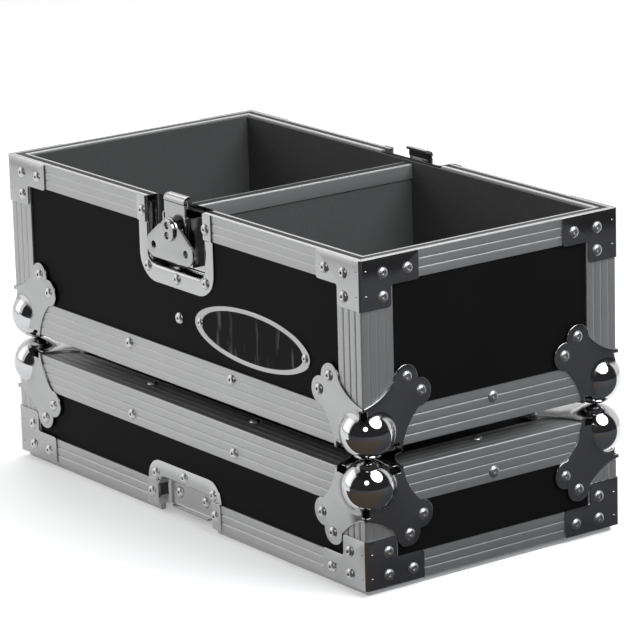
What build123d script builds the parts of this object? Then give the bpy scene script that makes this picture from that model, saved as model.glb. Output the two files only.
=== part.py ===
from build123d import *
from math import cos, radians, sin
import os

os.makedirs("parts", exist_ok=True)

# A carrying case for 7 inch records. The open case stands on its own lift-off lid, both rims of
# ribbed aluminium extrusion. Origin at the middle of the footprint, +Z up, the badge faces -Y.

# Whole box
brace_width = 494.0  # across the corner braces, side to side
brace_depth = 254.0  # across the corner braces, front to back
case_height = 152.0  # rim to base, over the extrusions
lid_height = 92.5  # rim to top, over the extrusions
ply_t = 9.0
lining_t = 5.0
lining_below_rim = 1.5

# Extrusions
angle_leg = 30.0
angle_t = 1.5
rib_depth = 0.35
rib_width = 1.2
rib_pitch = 7.0
rim_face = 21.5  # height of a rim extrusion's outer face
rim_width = 12.0  # outer face to inner face of a rim extrusion
rim_inner_leg = 12.0
tongue_drop = 5.5
tongue_t = 4.8
tongue_inset = 4.0
tongue_clearance = 0.4
tongue_end_clearance = 0.3

# Corner braces
brace_t = 1.2
brace_long = 55.0
brace_tall = 40.0
brace_bar = 23.0
brace_post = 28.5
brace_end_chamfer = 2.0

# Ball corners
ball_r = 21.3
ball_proud = 8.35  # how far a ball stands out of the closed end of its box
ball_side_proud = 9.0  # how far it stands out of the sides
ball_gap = 0.3  # between the case's balls and the lid's
ball_flats = 16
plate_t = 1.3
slit_half = 3.0  # the legs part along each edge of the box, from here
slit_end = 36.5  # up to here, measured from the corner
arch_near = 17.0
arch_far = 43.0
lobe_r = 11.6
lobe_near = 40.3
lobe_far = 52.8
leg_end = 60.0  # end of the plain leg between the two halves of the stack

# Latch halves
dish_t = 1.2
dish_half = 52.0
mouth_half = 39.0
dish_depth = 11.0  # panel face to recess floor
dish_reach = 70.0  # rim to the end of the case's flange
mouth_reach = 55.5
strike_dish_reach = 39.4
strike_mouth_reach = 25.2
dish_r = 22.0
mouth_r = 10.0
cut_clearance = 0.3

# Latch works
boss_below_rim = 20.5
base_half = 20.0
base_t = 1.5
base_below_boss = 29.0
base_above_boss = 11.0
base_foot = 7.0
guide_ear_tall = 6.0
guide_clearance = 0.4
shaft_r = 4.0
shaft_clearance = 0.05
works_gap = 0.3
hook_half = 14.4
hook_t = 2.5
hook_out = 1.6  # hook's outer face beyond the panel face
hook_above_rim = 7.0
hook_below_boss = 16.0
hook_lip_t = 2.0
hook_lip_deep = 4.5
hook_bend_r = 4.0  # outside of the bend between plate and lip
eccentric = 3.5
eccentric_r = 7.0
yoke_clearance = 0.95
nut_r = 5.6
nut_t = 1.3
drive_square = 6.0
handle_out = 5.3  # back of the wing handle beyond the panel face
handle_t = 1.8
handle_top_r = 11.0
shoulder_x = 14.9
shoulder_rise = 3.1  # above the boss
shoulder_r = 1.5
wing_r = 10.0
wing_x = 22.5
wing_drop = 15.8
wing_hole_r = 3.2
cap_r = 9.3
cap_t = 2.5

# Strike plate in the lid's half dish
strike_half = 26.0
strike_t = 1.5
strike_off = 2.5  # recess floor to the back of the plate
strike_low = 1.0  # rim to the lower side of its lip
strike_high = 23.0
strike_lip_t = 2.0
strike_lip_out = 7.7  # recess floor to the front of the lip
strike_r = 5.0

# Badge
badge_long = 155.0
badge_tall = 46.0
badge_t = 1.0
badge_x = 101.0
badge_above_angle = 7.2  # base angle to the lower side of the badge

# Partition
partition_t = 9.0
partition_below_rim = 3.5
trim_t = 1.4
trim_down = 11.0

# Carrying handle, folded into the lid's top
grip_dish_long = 148.0
grip_dish_wide = 96.0
grip_dish_chamfer = 6.0
grip_flange = 12.0
grip_dish_deep = 11.8
bail_half = 46.0
bail_wide = 8.0
bail_t = 4.0
bail_chamfer = 4.0
bail_reach = 40.0
bail_rise = 6.0  # tray floor to the middle of the folded bail
bail_axis_back = 24.0
bail_pin = 4.5
pin_r = 3.0
pin_clearance = 0.05
bail_side_gap = 0.4
grip_half = 34.0
grip_wide = 22.0
grip_thick = 10.4
grip_chamfer = 3.0
ear_t = 3.0
ear_r = 5.0
ear_chamfer = 2.5

# Places worked out from the sizes above
outer_x = brace_width / 2 - brace_t  # outer faces of the extrusions
outer_y = brace_depth / 2 - brace_t
panel_x = outer_x - angle_t  # outer faces of the plywood
panel_y = outer_y - angle_t
inner_x = panel_x - ply_t
inner_y = panel_y - ply_t
lining_x = inner_x - lining_t
lining_y = inner_y - lining_t
lid_rim_z = tongue_drop
lid_top_z = lid_rim_z + lid_height
case_base_z = lid_top_z + 2 * ball_proud + ball_gap
case_rim_z = case_base_z + case_height
stack_mid_z = (lid_top_z + case_base_z) / 2
rims_mid_z = (lid_rim_z + case_rim_z) / 2
groove_depth = tongue_drop + tongue_end_clearance
ball_inset = ball_r - ball_proud
ball_side_inset = ball_r - ball_side_proud
case_ply_top_z = case_rim_z - groove_depth - angle_t
case_ply_base_z = case_base_z + angle_t
case_floor_z = case_ply_base_z + ply_t
lid_ply_low_z = lid_rim_z + angle_t
lid_ply_top_z = lid_top_z - angle_t
lid_ceiling_z = lid_ply_top_z - ply_t
cut_half = mouth_half + dish_t + cut_clearance
boss_z = case_rim_z - boss_below_rim
floor_out = panel_y - dish_depth

front_face = Plane(origin=(0, 0, 0), x_dir=(1, 0, 0), z_dir=(0, -1, 0))
back_face = Plane(origin=(0, 0, 0), x_dir=(-1, 0, 0), z_dir=(0, 1, 0))
sides = (("front", front_face), ("back", back_face))


def slab(center_a, center_b, size_a, size_b):
    # A rectangle in the open sketch, by its middle and its size
    with Locations((center_a, center_b)):
        Rectangle(size_a, size_b)


def tab(half_width, rim, end, radius):
    # An outline that is square at the rim and rounded at its far end
    slab(0, (rim + end) / 2, 2 * half_width, abs(rim - end))
    far_end = vertices().group_by(Axis.Y)[0 if end < rim else -1]
    fillet(far_end, radius)


def ribbed(start, end, depth_a, depth_b):
    # Points of a straight outer face from start to end with V grooves cut into it
    (a0, b0), (a1, b1) = start, end
    length = abs(a1 - a0) + abs(b1 - b0)
    step_a, step_b = (a1 - a0) / length, (b1 - b0) / length
    count = int(length / rib_pitch - 0.5)
    points = [start]
    for i in range(count):
        middle = length * (i + 1) / (count + 1)
        for offset, depth in ((-rib_width / 2, 0), (0, rib_depth), (rib_width / 2, 0)):
            along = middle + offset
            points.append((a0 + step_a * along + depth_a * depth, b0 + step_b * along + depth_b * depth))
    points.append(end)
    return points


def angle_profile(corner_a, corner_b, in_a, in_b):
    # Section of a ribbed angle with its outer corner given; in_a and in_b point inwards
    def place(a, b):
        return (corner_a + in_a * a, corner_b + in_b * b)

    foot = ribbed(place(0, 0), place(angle_leg, 0), 0, in_b)
    post = ribbed(place(0, angle_leg), place(0, 0), in_a, 0)
    inside = [place(angle_leg, angle_t), place(angle_t, angle_t), place(angle_t, angle_leg)]
    Polygon(*foot, *inside, *post[1:-1], align=None)


def rim_profile(outer, inward, rim_z, away, tongue):
    # Section of a rim extrusion: outer is its outer face, away points from the rim to the panel
    def place(w, h):
        return (outer + inward * w, rim_z + away * h)

    inner = rim_width - angle_t
    if tongue:
        web = angle_t
        key = ((tongue_inset, 0), (tongue_inset, -tongue_drop))
        key += ((tongue_inset + tongue_t, -tongue_drop), (tongue_inset + tongue_t, 0))
    else:
        web = groove_depth + angle_t
        near = tongue_inset - tongue_clearance
        far = tongue_inset + tongue_t + tongue_clearance
        key = ((near, 0), (near, groove_depth), (far, groove_depth), (far, 0))
    top = [place(0, 0)] + [place(w, h) for w, h in key]
    inside = [place(rim_width, 0), place(rim_width, rim_inner_leg), place(inner, rim_inner_leg)]
    inside += [place(inner, web), place(angle_t, web), place(angle_t, rim_face)]
    face = ribbed(place(0, rim_face), place(0, 0), inward, 0)
    Polygon(*top, *inside, *face[:-1], align=None)


def mitred(ends_x, ends_y, side):
    # Keeps the part of a rim that lies between the 45 degree cuts at its two corners
    reach = rim_width + 1
    if side in ("front", "back"):
        sign = -1 if side == "front" else 1
        corners = [(-ends_x, sign * ends_y), (ends_x, sign * ends_y)]
        corners += [(ends_x - reach, sign * (ends_y - reach)), (reach - ends_x, sign * (ends_y - reach))]
    else:
        sign = -1 if side == "left" else 1
        corners = [(sign * ends_x, -ends_y), (sign * ends_x, ends_y)]
        corners += [(sign * (ends_x - reach), ends_y - reach), (sign * (ends_x - reach), reach - ends_y)]
    with BuildSketch(Plane.XY) as kept:
        Polygon(*corners, align=None)
    extrude(kept.sketch, amount=case_rim_z + rim_face, mode=Mode.INTERSECT)


def rim(side, rim_z, away, tongue):
    # One rim extrusion; the front and back ones are cut through for the latch
    with BuildPart() as extrusion:
        if side in ("front", "back"):
            sign = -1 if side == "front" else 1
            with BuildSketch(Plane.YZ):
                rim_profile(sign * outer_y, -sign, rim_z, away, tongue)
            extrude(amount=outer_x, both=True)
        else:
            sign = -1 if side == "left" else 1
            with BuildSketch(Plane.XZ):
                rim_profile(sign * outer_x, -sign, rim_z, away, tongue)
            extrude(amount=outer_y, both=True)
        mitred(outer_x, outer_y, side)
        if side in ("front", "back"):
            with BuildSketch(Plane.XZ):
                slab(0, rim_z, 2 * cut_half, 4 * rim_face)
            extrude(amount=brace_depth, both=True, mode=Mode.SUBTRACT)
    return extrusion


def edge_angles(corner_z, up):
    # The four angles along the closed end of a box, cut square beside its corners
    with BuildPart() as angles:
        for sign in (-1, 1):
            with BuildSketch(Plane.YZ):
                angle_profile(sign * outer_y, corner_z, -sign, up)
            extrude(amount=outer_x - angle_leg, both=True)
            with BuildSketch(Plane.XZ):
                angle_profile(sign * outer_x, corner_z, -sign, up)
            extrude(amount=outer_y - angle_leg, both=True)
    return angles


def upright_angles(low_z, high_z):
    with BuildPart() as angles:
        for x in (-1, 1):
            for y in (-1, 1):
                with BuildSketch(Plane.XY.offset(low_z)):
                    angle_profile(x * outer_x, y * outer_y, -x, -y)
                extrude(amount=high_z - low_z)
    return angles


def half_dish(face, rim_z, end_z, mouth_end_z):
    # Pressed half of the latch recess: a flange over the rim and the panel, and a tray behind it
    away = 1 if end_z > rim_z else -1
    step_z = rim_z + away * rim_face
    with BuildPart() as dish:
        with BuildSketch(face.offset(floor_out - dish_t)):
            tab(mouth_half + dish_t, rim_z, mouth_end_z + away * dish_t, mouth_r + dish_t)
        extrude(amount=dish_depth + 2 * dish_t)
        with BuildSketch(face.offset(panel_y)):
            tab(dish_half, step_z, end_z, min(dish_r, abs(end_z - step_z) - 1))
        extrude(amount=dish_t)
        with BuildSketch(face.offset(outer_y)):
            slab(0, (rim_z + step_z) / 2, 2 * dish_half, rim_face)
        extrude(amount=dish_t)
        with BuildSketch(face.offset(panel_y)):
            slab(0, step_z + away * dish_t / 2, 2 * dish_half, dish_t)
        extrude(amount=angle_t + dish_t)
        with BuildSketch(face.offset(floor_out)):
            tab(mouth_half, rim_z - away, mouth_end_z, mouth_r)
        extrude(amount=dish_depth + 3 * dish_t + angle_t, mode=Mode.SUBTRACT)
    return dish


def wall_with_cut(face, low_z, high_z, rim_z, mouth_end_z):
    # A front or back panel with the hole that the half dish hangs in
    away = 1 if mouth_end_z > rim_z else -1
    with BuildPart() as panel:
        with BuildSketch(face.offset(panel_y - ply_t)):
            slab(0, (low_z + high_z) / 2, 2 * panel_x, high_z - low_z)
        extrude(amount=ply_t)
        pocket_end_z = mouth_end_z + away * (dish_t + cut_clearance)
        with BuildSketch(face.offset(panel_y - ply_t)):
            slab(0, (rim_z + pocket_end_z) / 2, 2 * cut_half, abs(rim_z - pocket_end_z))
        extrude(amount=ply_t, mode=Mode.SUBTRACT)
    return panel


def end_wall(sign, low_z, high_z):
    with BuildPart() as panel:
        with BuildSketch(Plane.YZ.offset(sign * inner_x)):
            slab(0, (low_z + high_z) / 2, 2 * inner_y, high_z - low_z)
        extrude(amount=sign * ply_t)
    return panel


def lining(closed_z, rim_z, mouth_end_z):
    # Foam sheets: one on the closed end, and four on the walls that reach almost to the rim
    away = 1 if closed_z > rim_z else -1
    sheet_z = closed_z - away * lining_t
    lip_z = rim_z + away * lining_below_rim
    leg_z = rim_z + away * rim_inner_leg
    pocket_end_z = mouth_end_z + away * (dish_t + cut_clearance)
    with BuildPart() as sheets:
        with BuildSketch(Plane.XY.offset(min(closed_z, sheet_z))):
            Rectangle(2 * inner_x, 2 * inner_y)
        extrude(amount=lining_t)
        for face in (front_face, back_face):
            with BuildSketch(face.offset(lining_y)):
                slab(0, (sheet_z + lip_z) / 2, 2 * inner_x, abs(sheet_z - lip_z))
            extrude(amount=lining_t)
        for sign in (-1, 1):
            with BuildSketch(Plane.YZ.offset(sign * lining_x)):
                slab(0, (sheet_z + lip_z) / 2, 2 * lining_y, abs(sheet_z - lip_z))
            extrude(amount=sign * lining_t)
        with BuildSketch(Plane.XY.offset(min(rim_z, leg_z))):
            Rectangle(2 * inner_x, 2 * inner_y)
            Rectangle(2 * (outer_x - rim_width), 2 * (outer_y - rim_width), mode=Mode.SUBTRACT)
        extrude(amount=rim_inner_leg, mode=Mode.SUBTRACT)
        for face in (front_face, back_face):
            with BuildSketch(face.offset(floor_out - dish_t)):
                slab(0, (rim_z + pocket_end_z) / 2, 2 * cut_half, abs(rim_z - pocket_end_z))
            extrude(amount=inner_y - floor_out + dish_t, mode=Mode.SUBTRACT)
    return sheets


# Case shell
for side, face in sides:
    wall = wall_with_cut(face, case_ply_base_z, case_ply_top_z, case_rim_z, case_rim_z - mouth_reach)
    wall.part.label = f"case_{side}_panel"
    export_step(wall.part, f"parts/case_{side}_panel.step")

for side, sign in (("left", -1), ("right", 1)):
    wall = end_wall(sign, case_ply_base_z, case_ply_top_z)
    wall.part.label = f"case_{side}_panel"
    export_step(wall.part, f"parts/case_{side}_panel.step")

with BuildPart() as case_bottom_panel:
    with BuildSketch(Plane.XY.offset(case_ply_base_z)):
        Rectangle(2 * inner_x, 2 * inner_y)
    extrude(amount=ply_t)
case_bottom_panel.part.label = "case_bottom_panel"
export_step(case_bottom_panel.part, "parts/case_bottom_panel.step")

# The partition stands on the bottom panel and meets the walls below the latch recesses, and the
# lining is cut round it
partition_top_z = case_rim_z - partition_below_rim - trim_t
partition_step_z = case_rim_z - mouth_reach - dish_t - cut_clearance
case_sheets = lining(case_floor_z, case_rim_z, case_rim_z - mouth_reach)
with BuildPart() as case_lining:
    add(case_sheets.part)
    with BuildSketch(Plane.YZ.offset(-partition_t / 2)):
        slab(0, (case_floor_z + partition_step_z) / 2, 2 * inner_y, partition_step_z - case_floor_z)
    extrude(amount=partition_t, mode=Mode.SUBTRACT)
case_lining.part.label = "case_lining"
export_step(case_lining.part, "parts/case_lining.step")

with BuildPart() as partition:
    with BuildSketch(Plane.YZ.offset(-partition_t / 2)):
        slab(0, (case_floor_z + partition_step_z) / 2, 2 * inner_y, partition_step_z - case_floor_z)
        slab(0, (case_floor_z + partition_top_z) / 2, 2 * lining_y, partition_top_z - case_floor_z)
    extrude(amount=partition_t)
partition.part.label = "partition"
export_step(partition.part, "parts/partition.step")

with BuildPart() as partition_trim:
    with BuildSketch(Plane.XZ):
        slab(0, partition_top_z + (trim_t - trim_down) / 2, partition_t + 2 * trim_t, trim_down + trim_t)
        with Locations((0, partition_top_z - trim_down / 2)):
            Rectangle(partition_t, trim_down, mode=Mode.SUBTRACT)
    extrude(amount=lining_y, both=True)
partition_trim.part.label = "partition_trim"
export_step(partition_trim.part, "parts/partition_trim.step")

# Case extrusions
case_upright_angles = upright_angles(case_base_z, case_rim_z - rim_face)
case_upright_angles.part.label = "case_upright_angles"
export_step(case_upright_angles.part, "parts/case_upright_angles.step")

case_base_angles = edge_angles(case_base_z, 1)
case_base_angles.part.label = "case_base_angles"
export_step(case_base_angles.part, "parts/case_base_angles.step")

for side in ("front", "back", "left", "right"):
    extrusion = rim(side, case_rim_z, -1, tongue=False)
    extrusion.part.label = f"case_{side}_rim"
    export_step(extrusion.part, f"parts/case_{side}_rim.step")

# Lid shell
for side, face in sides:
    wall = wall_with_cut(face, lid_ply_low_z, lid_ply_top_z, lid_rim_z, lid_rim_z + strike_mouth_reach)
    wall.part.label = f"lid_{side}_panel"
    export_step(wall.part, f"parts/lid_{side}_panel.step")

for side, sign in (("left", -1), ("right", 1)):
    wall = end_wall(sign, lid_ply_low_z, lid_ply_top_z)
    wall.part.label = f"lid_{side}_panel"
    export_step(wall.part, f"parts/lid_{side}_panel.step")

tray_long = grip_dish_long - 2 * grip_flange
tray_wide = grip_dish_wide - 2 * grip_flange
hole_long = tray_long + 2 * (dish_t + cut_clearance)
hole_wide = tray_wide + 2 * (dish_t + cut_clearance)
tray_floor_z = lid_ply_top_z - grip_dish_deep
with BuildPart() as lid_top_panel:
    with BuildSketch(Plane.XY.offset(lid_ceiling_z)):
        Rectangle(2 * inner_x, 2 * inner_y)
        Rectangle(hole_long, hole_wide, mode=Mode.SUBTRACT)
    extrude(amount=ply_t)
lid_top_panel.part.label = "lid_top_panel"
export_step(lid_top_panel.part, "parts/lid_top_panel.step")

lid_sheets = lining(lid_ceiling_z, lid_rim_z, lid_rim_z + strike_mouth_reach)
with BuildPart() as lid_lining:
    add(lid_sheets.part)
    with BuildSketch(Plane.XY.offset(tray_floor_z - dish_t)):
        Rectangle(hole_long, hole_wide)
    extrude(amount=grip_dish_deep, mode=Mode.SUBTRACT)
lid_lining.part.label = "lid_lining"
export_step(lid_lining.part, "parts/lid_lining.step")

# Lid extrusions
lid_upright_angles = upright_angles(lid_rim_z + rim_face, lid_top_z)
lid_upright_angles.part.label = "lid_upright_angles"
export_step(lid_upright_angles.part, "parts/lid_upright_angles.step")

lid_top_angles = edge_angles(lid_top_z, -1)
lid_top_angles.part.label = "lid_top_angles"
export_step(lid_top_angles.part, "parts/lid_top_angles.step")

for side in ("front", "back", "left", "right"):
    extrusion = rim(side, lid_rim_z, 1, tongue=True)
    extrusion.part.label = f"lid_{side}_rim"
    export_step(extrusion.part, f"parts/lid_{side}_rim.step")

# Corner braces: a plate bent round each rim corner
brace_corner = (outer_x + brace_t, -outer_y - brace_t, case_rim_z)
with BuildPart() as brace:
    for x_dir, z_dir in (((-1, 0, 0), (0, -1, 0)), ((0, 1, 0), (1, 0, 0))):
        face = Plane(origin=brace_corner, x_dir=x_dir, z_dir=z_dir)
        down = -face.y_dir.Z
        with BuildSketch(face):
            slab(brace_long / 2, down * brace_bar / 2, brace_long, brace_bar)
            slab(brace_post / 2, down * brace_tall / 2, brace_post, brace_tall)
            chamfer(vertices().group_by(Axis.X)[-1], brace_end_chamfer)
        extrude(amount=-brace_t)
with BuildPart() as case_corner_braces:
    add(brace.part)
    mirror(about=Plane.YZ)
    mirror(about=Plane.XZ)
case_corner_braces.part.label = "case_corner_braces"
export_step(case_corner_braces.part, "parts/case_corner_braces.step")

with BuildPart() as lid_corner_braces:
    mirror(case_corner_braces.part, about=Plane.XY.offset(rims_mid_z))
lid_corner_braces.part.label = "lid_corner_braces"
export_step(lid_corner_braces.part, "parts/lid_corner_braces.step")

# Ball corners: a plate with a two-lobed leg on each face, and a ball pressed out of its corner.
# The ball is cut in flats like a gem, which touch the true sphere at its poles and its equator.
ball_corner_point = Vector(outer_x, -outer_y, case_base_z)
ball_center = ball_corner_point + Vector(-ball_side_inset, ball_side_inset, ball_inset)
lobe_side = lobe_near - lobe_r
ball_step = 360 / ball_flats
ball_span = ball_r / cos(radians(ball_step / 2))
ball_points = []
for i in range(ball_flats // 2):
    polar = ball_step * (i + 0.5)
    for j in range(ball_flats):
        ring = Vector(ball_span * sin(radians(polar)), 0, ball_span * cos(radians(polar)))
        ball_points.append(ball_center + ring.rotate(Axis.Z, ball_step * j))

leg_faces = (((0, 0, 1), (0, -1, 0)), ((0, 1, 0), (1, 0, 0)))
with BuildPart() as ball_corner:
    for x_dir, z_dir in leg_faces:
        with BuildSketch(Plane(origin=ball_corner_point, x_dir=x_dir, z_dir=z_dir)):
            with BuildLine():
                upper = ThreePointArc((slit_half, slit_end), (arch_near, arch_far), (lobe_side, lobe_far))
                lower = ThreePointArc((lobe_far, lobe_side), (arch_far, arch_near), (slit_end, slit_half))
                Polyline(upper @ 1, (lobe_near, lobe_far), (lobe_far, lobe_near), lower @ 0)
                Polyline(lower @ 1, (slit_half, slit_half), upper @ 0)
            make_face()
            with Locations((lobe_near, lobe_far), (lobe_far, lobe_near)):
                Circle(lobe_r)
        extrude(amount=plate_t)
    with BuildSketch(Plane(ball_corner_point, x_dir=(-1, 0, 0), z_dir=(0, 0, -1))):
        flat_leg = [(slit_half, slit_half), (slit_half, slit_end), (lobe_near, leg_end), (leg_end, lobe_near)]
        Polygon(*flat_leg, (slit_end, slit_half), align=None)
    extrude(amount=plate_t)
    ConvexPolyhedron(ball_points)
    with Locations(ball_corner_point):
        Box(brace_long, brace_long, brace_long, align=(Align.MAX, Align.MIN, Align.MIN), mode=Mode.SUBTRACT)
with BuildPart() as case_ball_corners:
    add(ball_corner.part)
    mirror(about=Plane.YZ)
    mirror(about=Plane.XZ)
case_ball_corners.part.label = "case_ball_corners"
export_step(case_ball_corners.part, "parts/case_ball_corners.step")

with BuildPart() as lid_ball_corners:
    mirror(case_ball_corners.part, about=Plane.XY.offset(stack_mid_z))
lid_ball_corners.part.label = "lid_ball_corners"
export_step(lid_ball_corners.part, "parts/lid_ball_corners.step")

# Latches, one in the middle of the front and one in the middle of the back
bracket_out = panel_y + hook_out - hook_t - works_gap
base_high_z = boss_z + base_above_boss
base_tall = base_above_boss + base_below_boss
base_mid_z = base_high_z - base_tall / 2
hook_top_z = case_rim_z + hook_above_rim
hook_low_z = boss_z - hook_below_boss
hook_back = panel_y + hook_out - hook_t
handle_back = panel_y + handle_out
bracket_back = bracket_out - base_t
eccentric_out = hook_back + hook_t + works_gap
strike_mid_z = lid_rim_z + (strike_low + strike_high) / 2
strike_leg = strike_high - strike_low - 2 * strike_r
for side, face in sides:
    latch_dish = half_dish(face, case_rim_z, case_rim_z - dish_reach, case_rim_z - mouth_reach)
    latch_dish.part.label = f"{side}_latch_dish"
    export_step(latch_dish.part, f"parts/{side}_latch_dish.step")

    with BuildPart() as latch_base:
        with BuildSketch(face.offset(floor_out)):
            for sign in (-1, 1):
                slab(sign * (base_half - base_t / 2), base_mid_z, base_t, base_tall)
        extrude(amount=bracket_out - floor_out)
        with BuildSketch(face.offset(floor_out)):
            for sign in (-1, 1):
                slab(sign * (base_half + base_foot / 2), base_mid_z, base_foot, base_tall)
        extrude(amount=base_t)
        with BuildSketch(face.offset(bracket_back)):
            slab(0, base_mid_z, 2 * base_half, base_tall)
            with Locations((0, boss_z)):
                Circle(shaft_r + shaft_clearance, mode=Mode.SUBTRACT)
        extrude(amount=base_t)
        with BuildSketch(face.offset(bracket_back)):
            for sign in (-1, 1):
                ear_x = sign * (hook_half + guide_clearance + base_t / 2)
                slab(ear_x, base_high_z - guide_ear_tall / 2, base_t, guide_ear_tall)
        extrude(amount=base_t + hook_t + works_gap)
    latch_base.part.label = f"{side}_latch_base"
    export_step(latch_base.part, f"parts/{side}_latch_base.step")

    with BuildPart() as latch_hook:
        with BuildSketch(face.offset(hook_back)):
            slab(0, (hook_low_z + hook_top_z) / 2, 2 * hook_half, hook_top_z - hook_low_z)
            window_wide = 2 * (eccentric_r + eccentric + guide_clearance)
            with Locations((0, boss_z - eccentric)):
                Rectangle(window_wide, 2 * (eccentric_r + yoke_clearance), mode=Mode.SUBTRACT)
        extrude(amount=hook_t)
        with BuildSketch(face.offset(hook_back - hook_lip_deep)):
            slab(0, hook_top_z - hook_lip_t / 2, 2 * hook_half, hook_lip_t)
        extrude(amount=hook_lip_deep)
        long_edges = latch_hook.edges().filter_by(Axis.X)
        outer_edge = long_edges.group_by(Axis.Z)[-1].sort_by(lambda e: abs(e.center().Y))[-1]
        under_lip = long_edges.group_by(Axis.Z)[-2].sort_by(lambda e: abs(e.center().Y))[-1]
        fillet(outer_edge, hook_bend_r)
        fillet(under_lip, hook_bend_r - hook_lip_t)
    latch_hook.part.label = f"{side}_latch_hook"
    export_step(latch_hook.part, f"parts/{side}_latch_hook.step")

    with BuildPart() as latch_spindle:
        with BuildSketch(face.offset(bracket_back - works_gap - nut_t)):
            with Locations((0, boss_z)):
                RegularPolygon(nut_r, 6)
        extrude(amount=nut_t)
        with BuildSketch(face.offset(bracket_back - works_gap)):
            with Locations((0, boss_z)):
                Circle(shaft_r)
        extrude(amount=base_t + 2 * works_gap)
        with BuildSketch(face.offset(hook_back)):
            with Locations((0, boss_z - eccentric)):
                Circle(eccentric_r)
        extrude(amount=hook_t + works_gap)
        with BuildSketch(face.offset(eccentric_out)):
            with Locations((0, boss_z)):
                Rectangle(drive_square, drive_square)
        extrude(amount=handle_back - eccentric_out)
    latch_spindle.part.label = f"{side}_latch_spindle"
    export_step(latch_spindle.part, f"parts/{side}_latch_spindle.step")

    with BuildPart() as latch_handle:
        with BuildSketch(face.offset(handle_back)):
            shoulder_z = boss_z + shoulder_rise - shoulder_r
            with Locations((shoulder_r - shoulder_x, shoulder_z), (shoulder_x - shoulder_r, shoulder_z)):
                Circle(shoulder_r)
            with Locations((-wing_x, boss_z - wing_drop), (wing_x, boss_z - wing_drop)):
                Circle(wing_r)
            make_hull()
            with Locations((0, boss_z)):
                Circle(handle_top_r)
            with Locations((-wing_x, boss_z - wing_drop), (wing_x, boss_z - wing_drop)):
                Circle(wing_hole_r, mode=Mode.SUBTRACT)
        extrude(amount=handle_t)
    latch_handle.part.label = f"{side}_latch_handle"
    export_step(latch_handle.part, f"parts/{side}_latch_handle.step")

    with BuildPart() as latch_cap:
        with BuildSketch(face.offset(handle_back + handle_t)):
            with Locations((0, boss_z)):
                Circle(cap_r)
        extrude(amount=cap_t)
    latch_cap.part.label = f"{side}_latch_cap"
    export_step(latch_cap.part, f"parts/{side}_latch_cap.step")

    strike_dish = half_dish(face, lid_rim_z, lid_rim_z + strike_dish_reach, lid_rim_z + strike_mouth_reach)
    strike_dish.part.label = f"{side}_strike_dish"
    export_step(strike_dish.part, f"parts/{side}_strike_dish.step")

    with BuildPart() as strike_plate:
        with BuildSketch(face.offset(floor_out + strike_off)):
            slab(0, strike_mid_z, 2 * strike_half, strike_high - strike_low)
            fillet(vertices().group_by(Axis.Y)[-1], strike_r)
        extrude(amount=strike_t)
        with BuildSketch(face.offset(floor_out)):
            for sign in (-1, 1):
                slab(sign * (strike_half - strike_t / 2), strike_mid_z, strike_t, strike_leg)
        extrude(amount=strike_off)
        with BuildSketch(face.offset(floor_out + strike_off + strike_t)):
            slab(0, lid_rim_z + strike_low + strike_lip_t / 2, 2 * strike_half, strike_lip_t)
        extrude(amount=strike_lip_out - strike_off - strike_t)
    strike_plate.part.label = f"{side}_strike_plate"
    export_step(strike_plate.part, f"parts/{side}_strike_plate.step")

# Badge: a bare oval plate on the front panel
badge_z = case_base_z + angle_leg + badge_above_angle + badge_tall / 2
with BuildPart() as badge_plate:
    with BuildSketch(front_face.offset(panel_y)):
        with Locations((badge_x, badge_z)):
            Ellipse(badge_long / 2, badge_tall / 2)
    extrude(amount=badge_t)
badge_plate.part.label = "badge_plate"
export_step(badge_plate.part, "parts/badge_plate.step")

# Carrying handle: a steel bail with a rubber grip, folded flat in a tray in the lid's top
with BuildPart() as grip_tray:
    with BuildSketch(Plane.XY.offset(tray_floor_z - dish_t)):
        Rectangle(tray_long + 2 * dish_t, tray_wide + 2 * dish_t)
    extrude(amount=grip_dish_deep + dish_t)
    with BuildSketch(Plane.XY.offset(lid_ply_top_z)):
        Rectangle(grip_dish_long, grip_dish_wide)
        chamfer(vertices(), grip_dish_chamfer)
    extrude(amount=dish_t)
    with BuildSketch(Plane.XY.offset(tray_floor_z)):
        Rectangle(tray_long, tray_wide)
    extrude(amount=grip_dish_deep + dish_t, mode=Mode.SUBTRACT)
grip_tray.part.label = "grip_tray"
export_step(grip_tray.part, "parts/grip_tray.step")

bail_z = tray_floor_z + bail_rise
bail_bar_y = bail_axis_back - bail_reach
with BuildPart() as bail:
    with BuildSketch(Plane.XY.offset(bail_z - bail_t / 2)):
        with Locations((0, (bail_axis_back + bail_bar_y) / 2)):
            Rectangle(2 * bail_half, bail_reach + bail_wide)
            chamfer(vertices().group_by(Axis.Y)[0], bail_chamfer)
        with Locations((0, (bail_axis_back + bail_bar_y + bail_wide) / 2)):
            Rectangle(2 * (bail_half - bail_wide), bail_reach, mode=Mode.SUBTRACT)
    extrude(amount=bail_t)
    for sign in (-1, 1):
        with BuildSketch(Plane.YZ.offset(sign * bail_half)):
            with Locations((bail_axis_back, bail_z)):
                Circle(pin_r)
        extrude(amount=sign * bail_pin)
bail.part.label = "bail"
export_step(bail.part, "parts/bail.step")

with BuildPart() as grip:
    with BuildSketch(Plane.YZ):
        with Locations((bail_bar_y, bail_z)):
            Rectangle(grip_wide, grip_thick)
        chamfer(vertices(), grip_chamfer)
        with Locations((bail_bar_y, bail_z)):
            Rectangle(bail_wide, bail_t, mode=Mode.SUBTRACT)
    extrude(amount=grip_half, both=True)
grip.part.label = "grip"
export_step(grip.part, "parts/grip.step")

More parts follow.
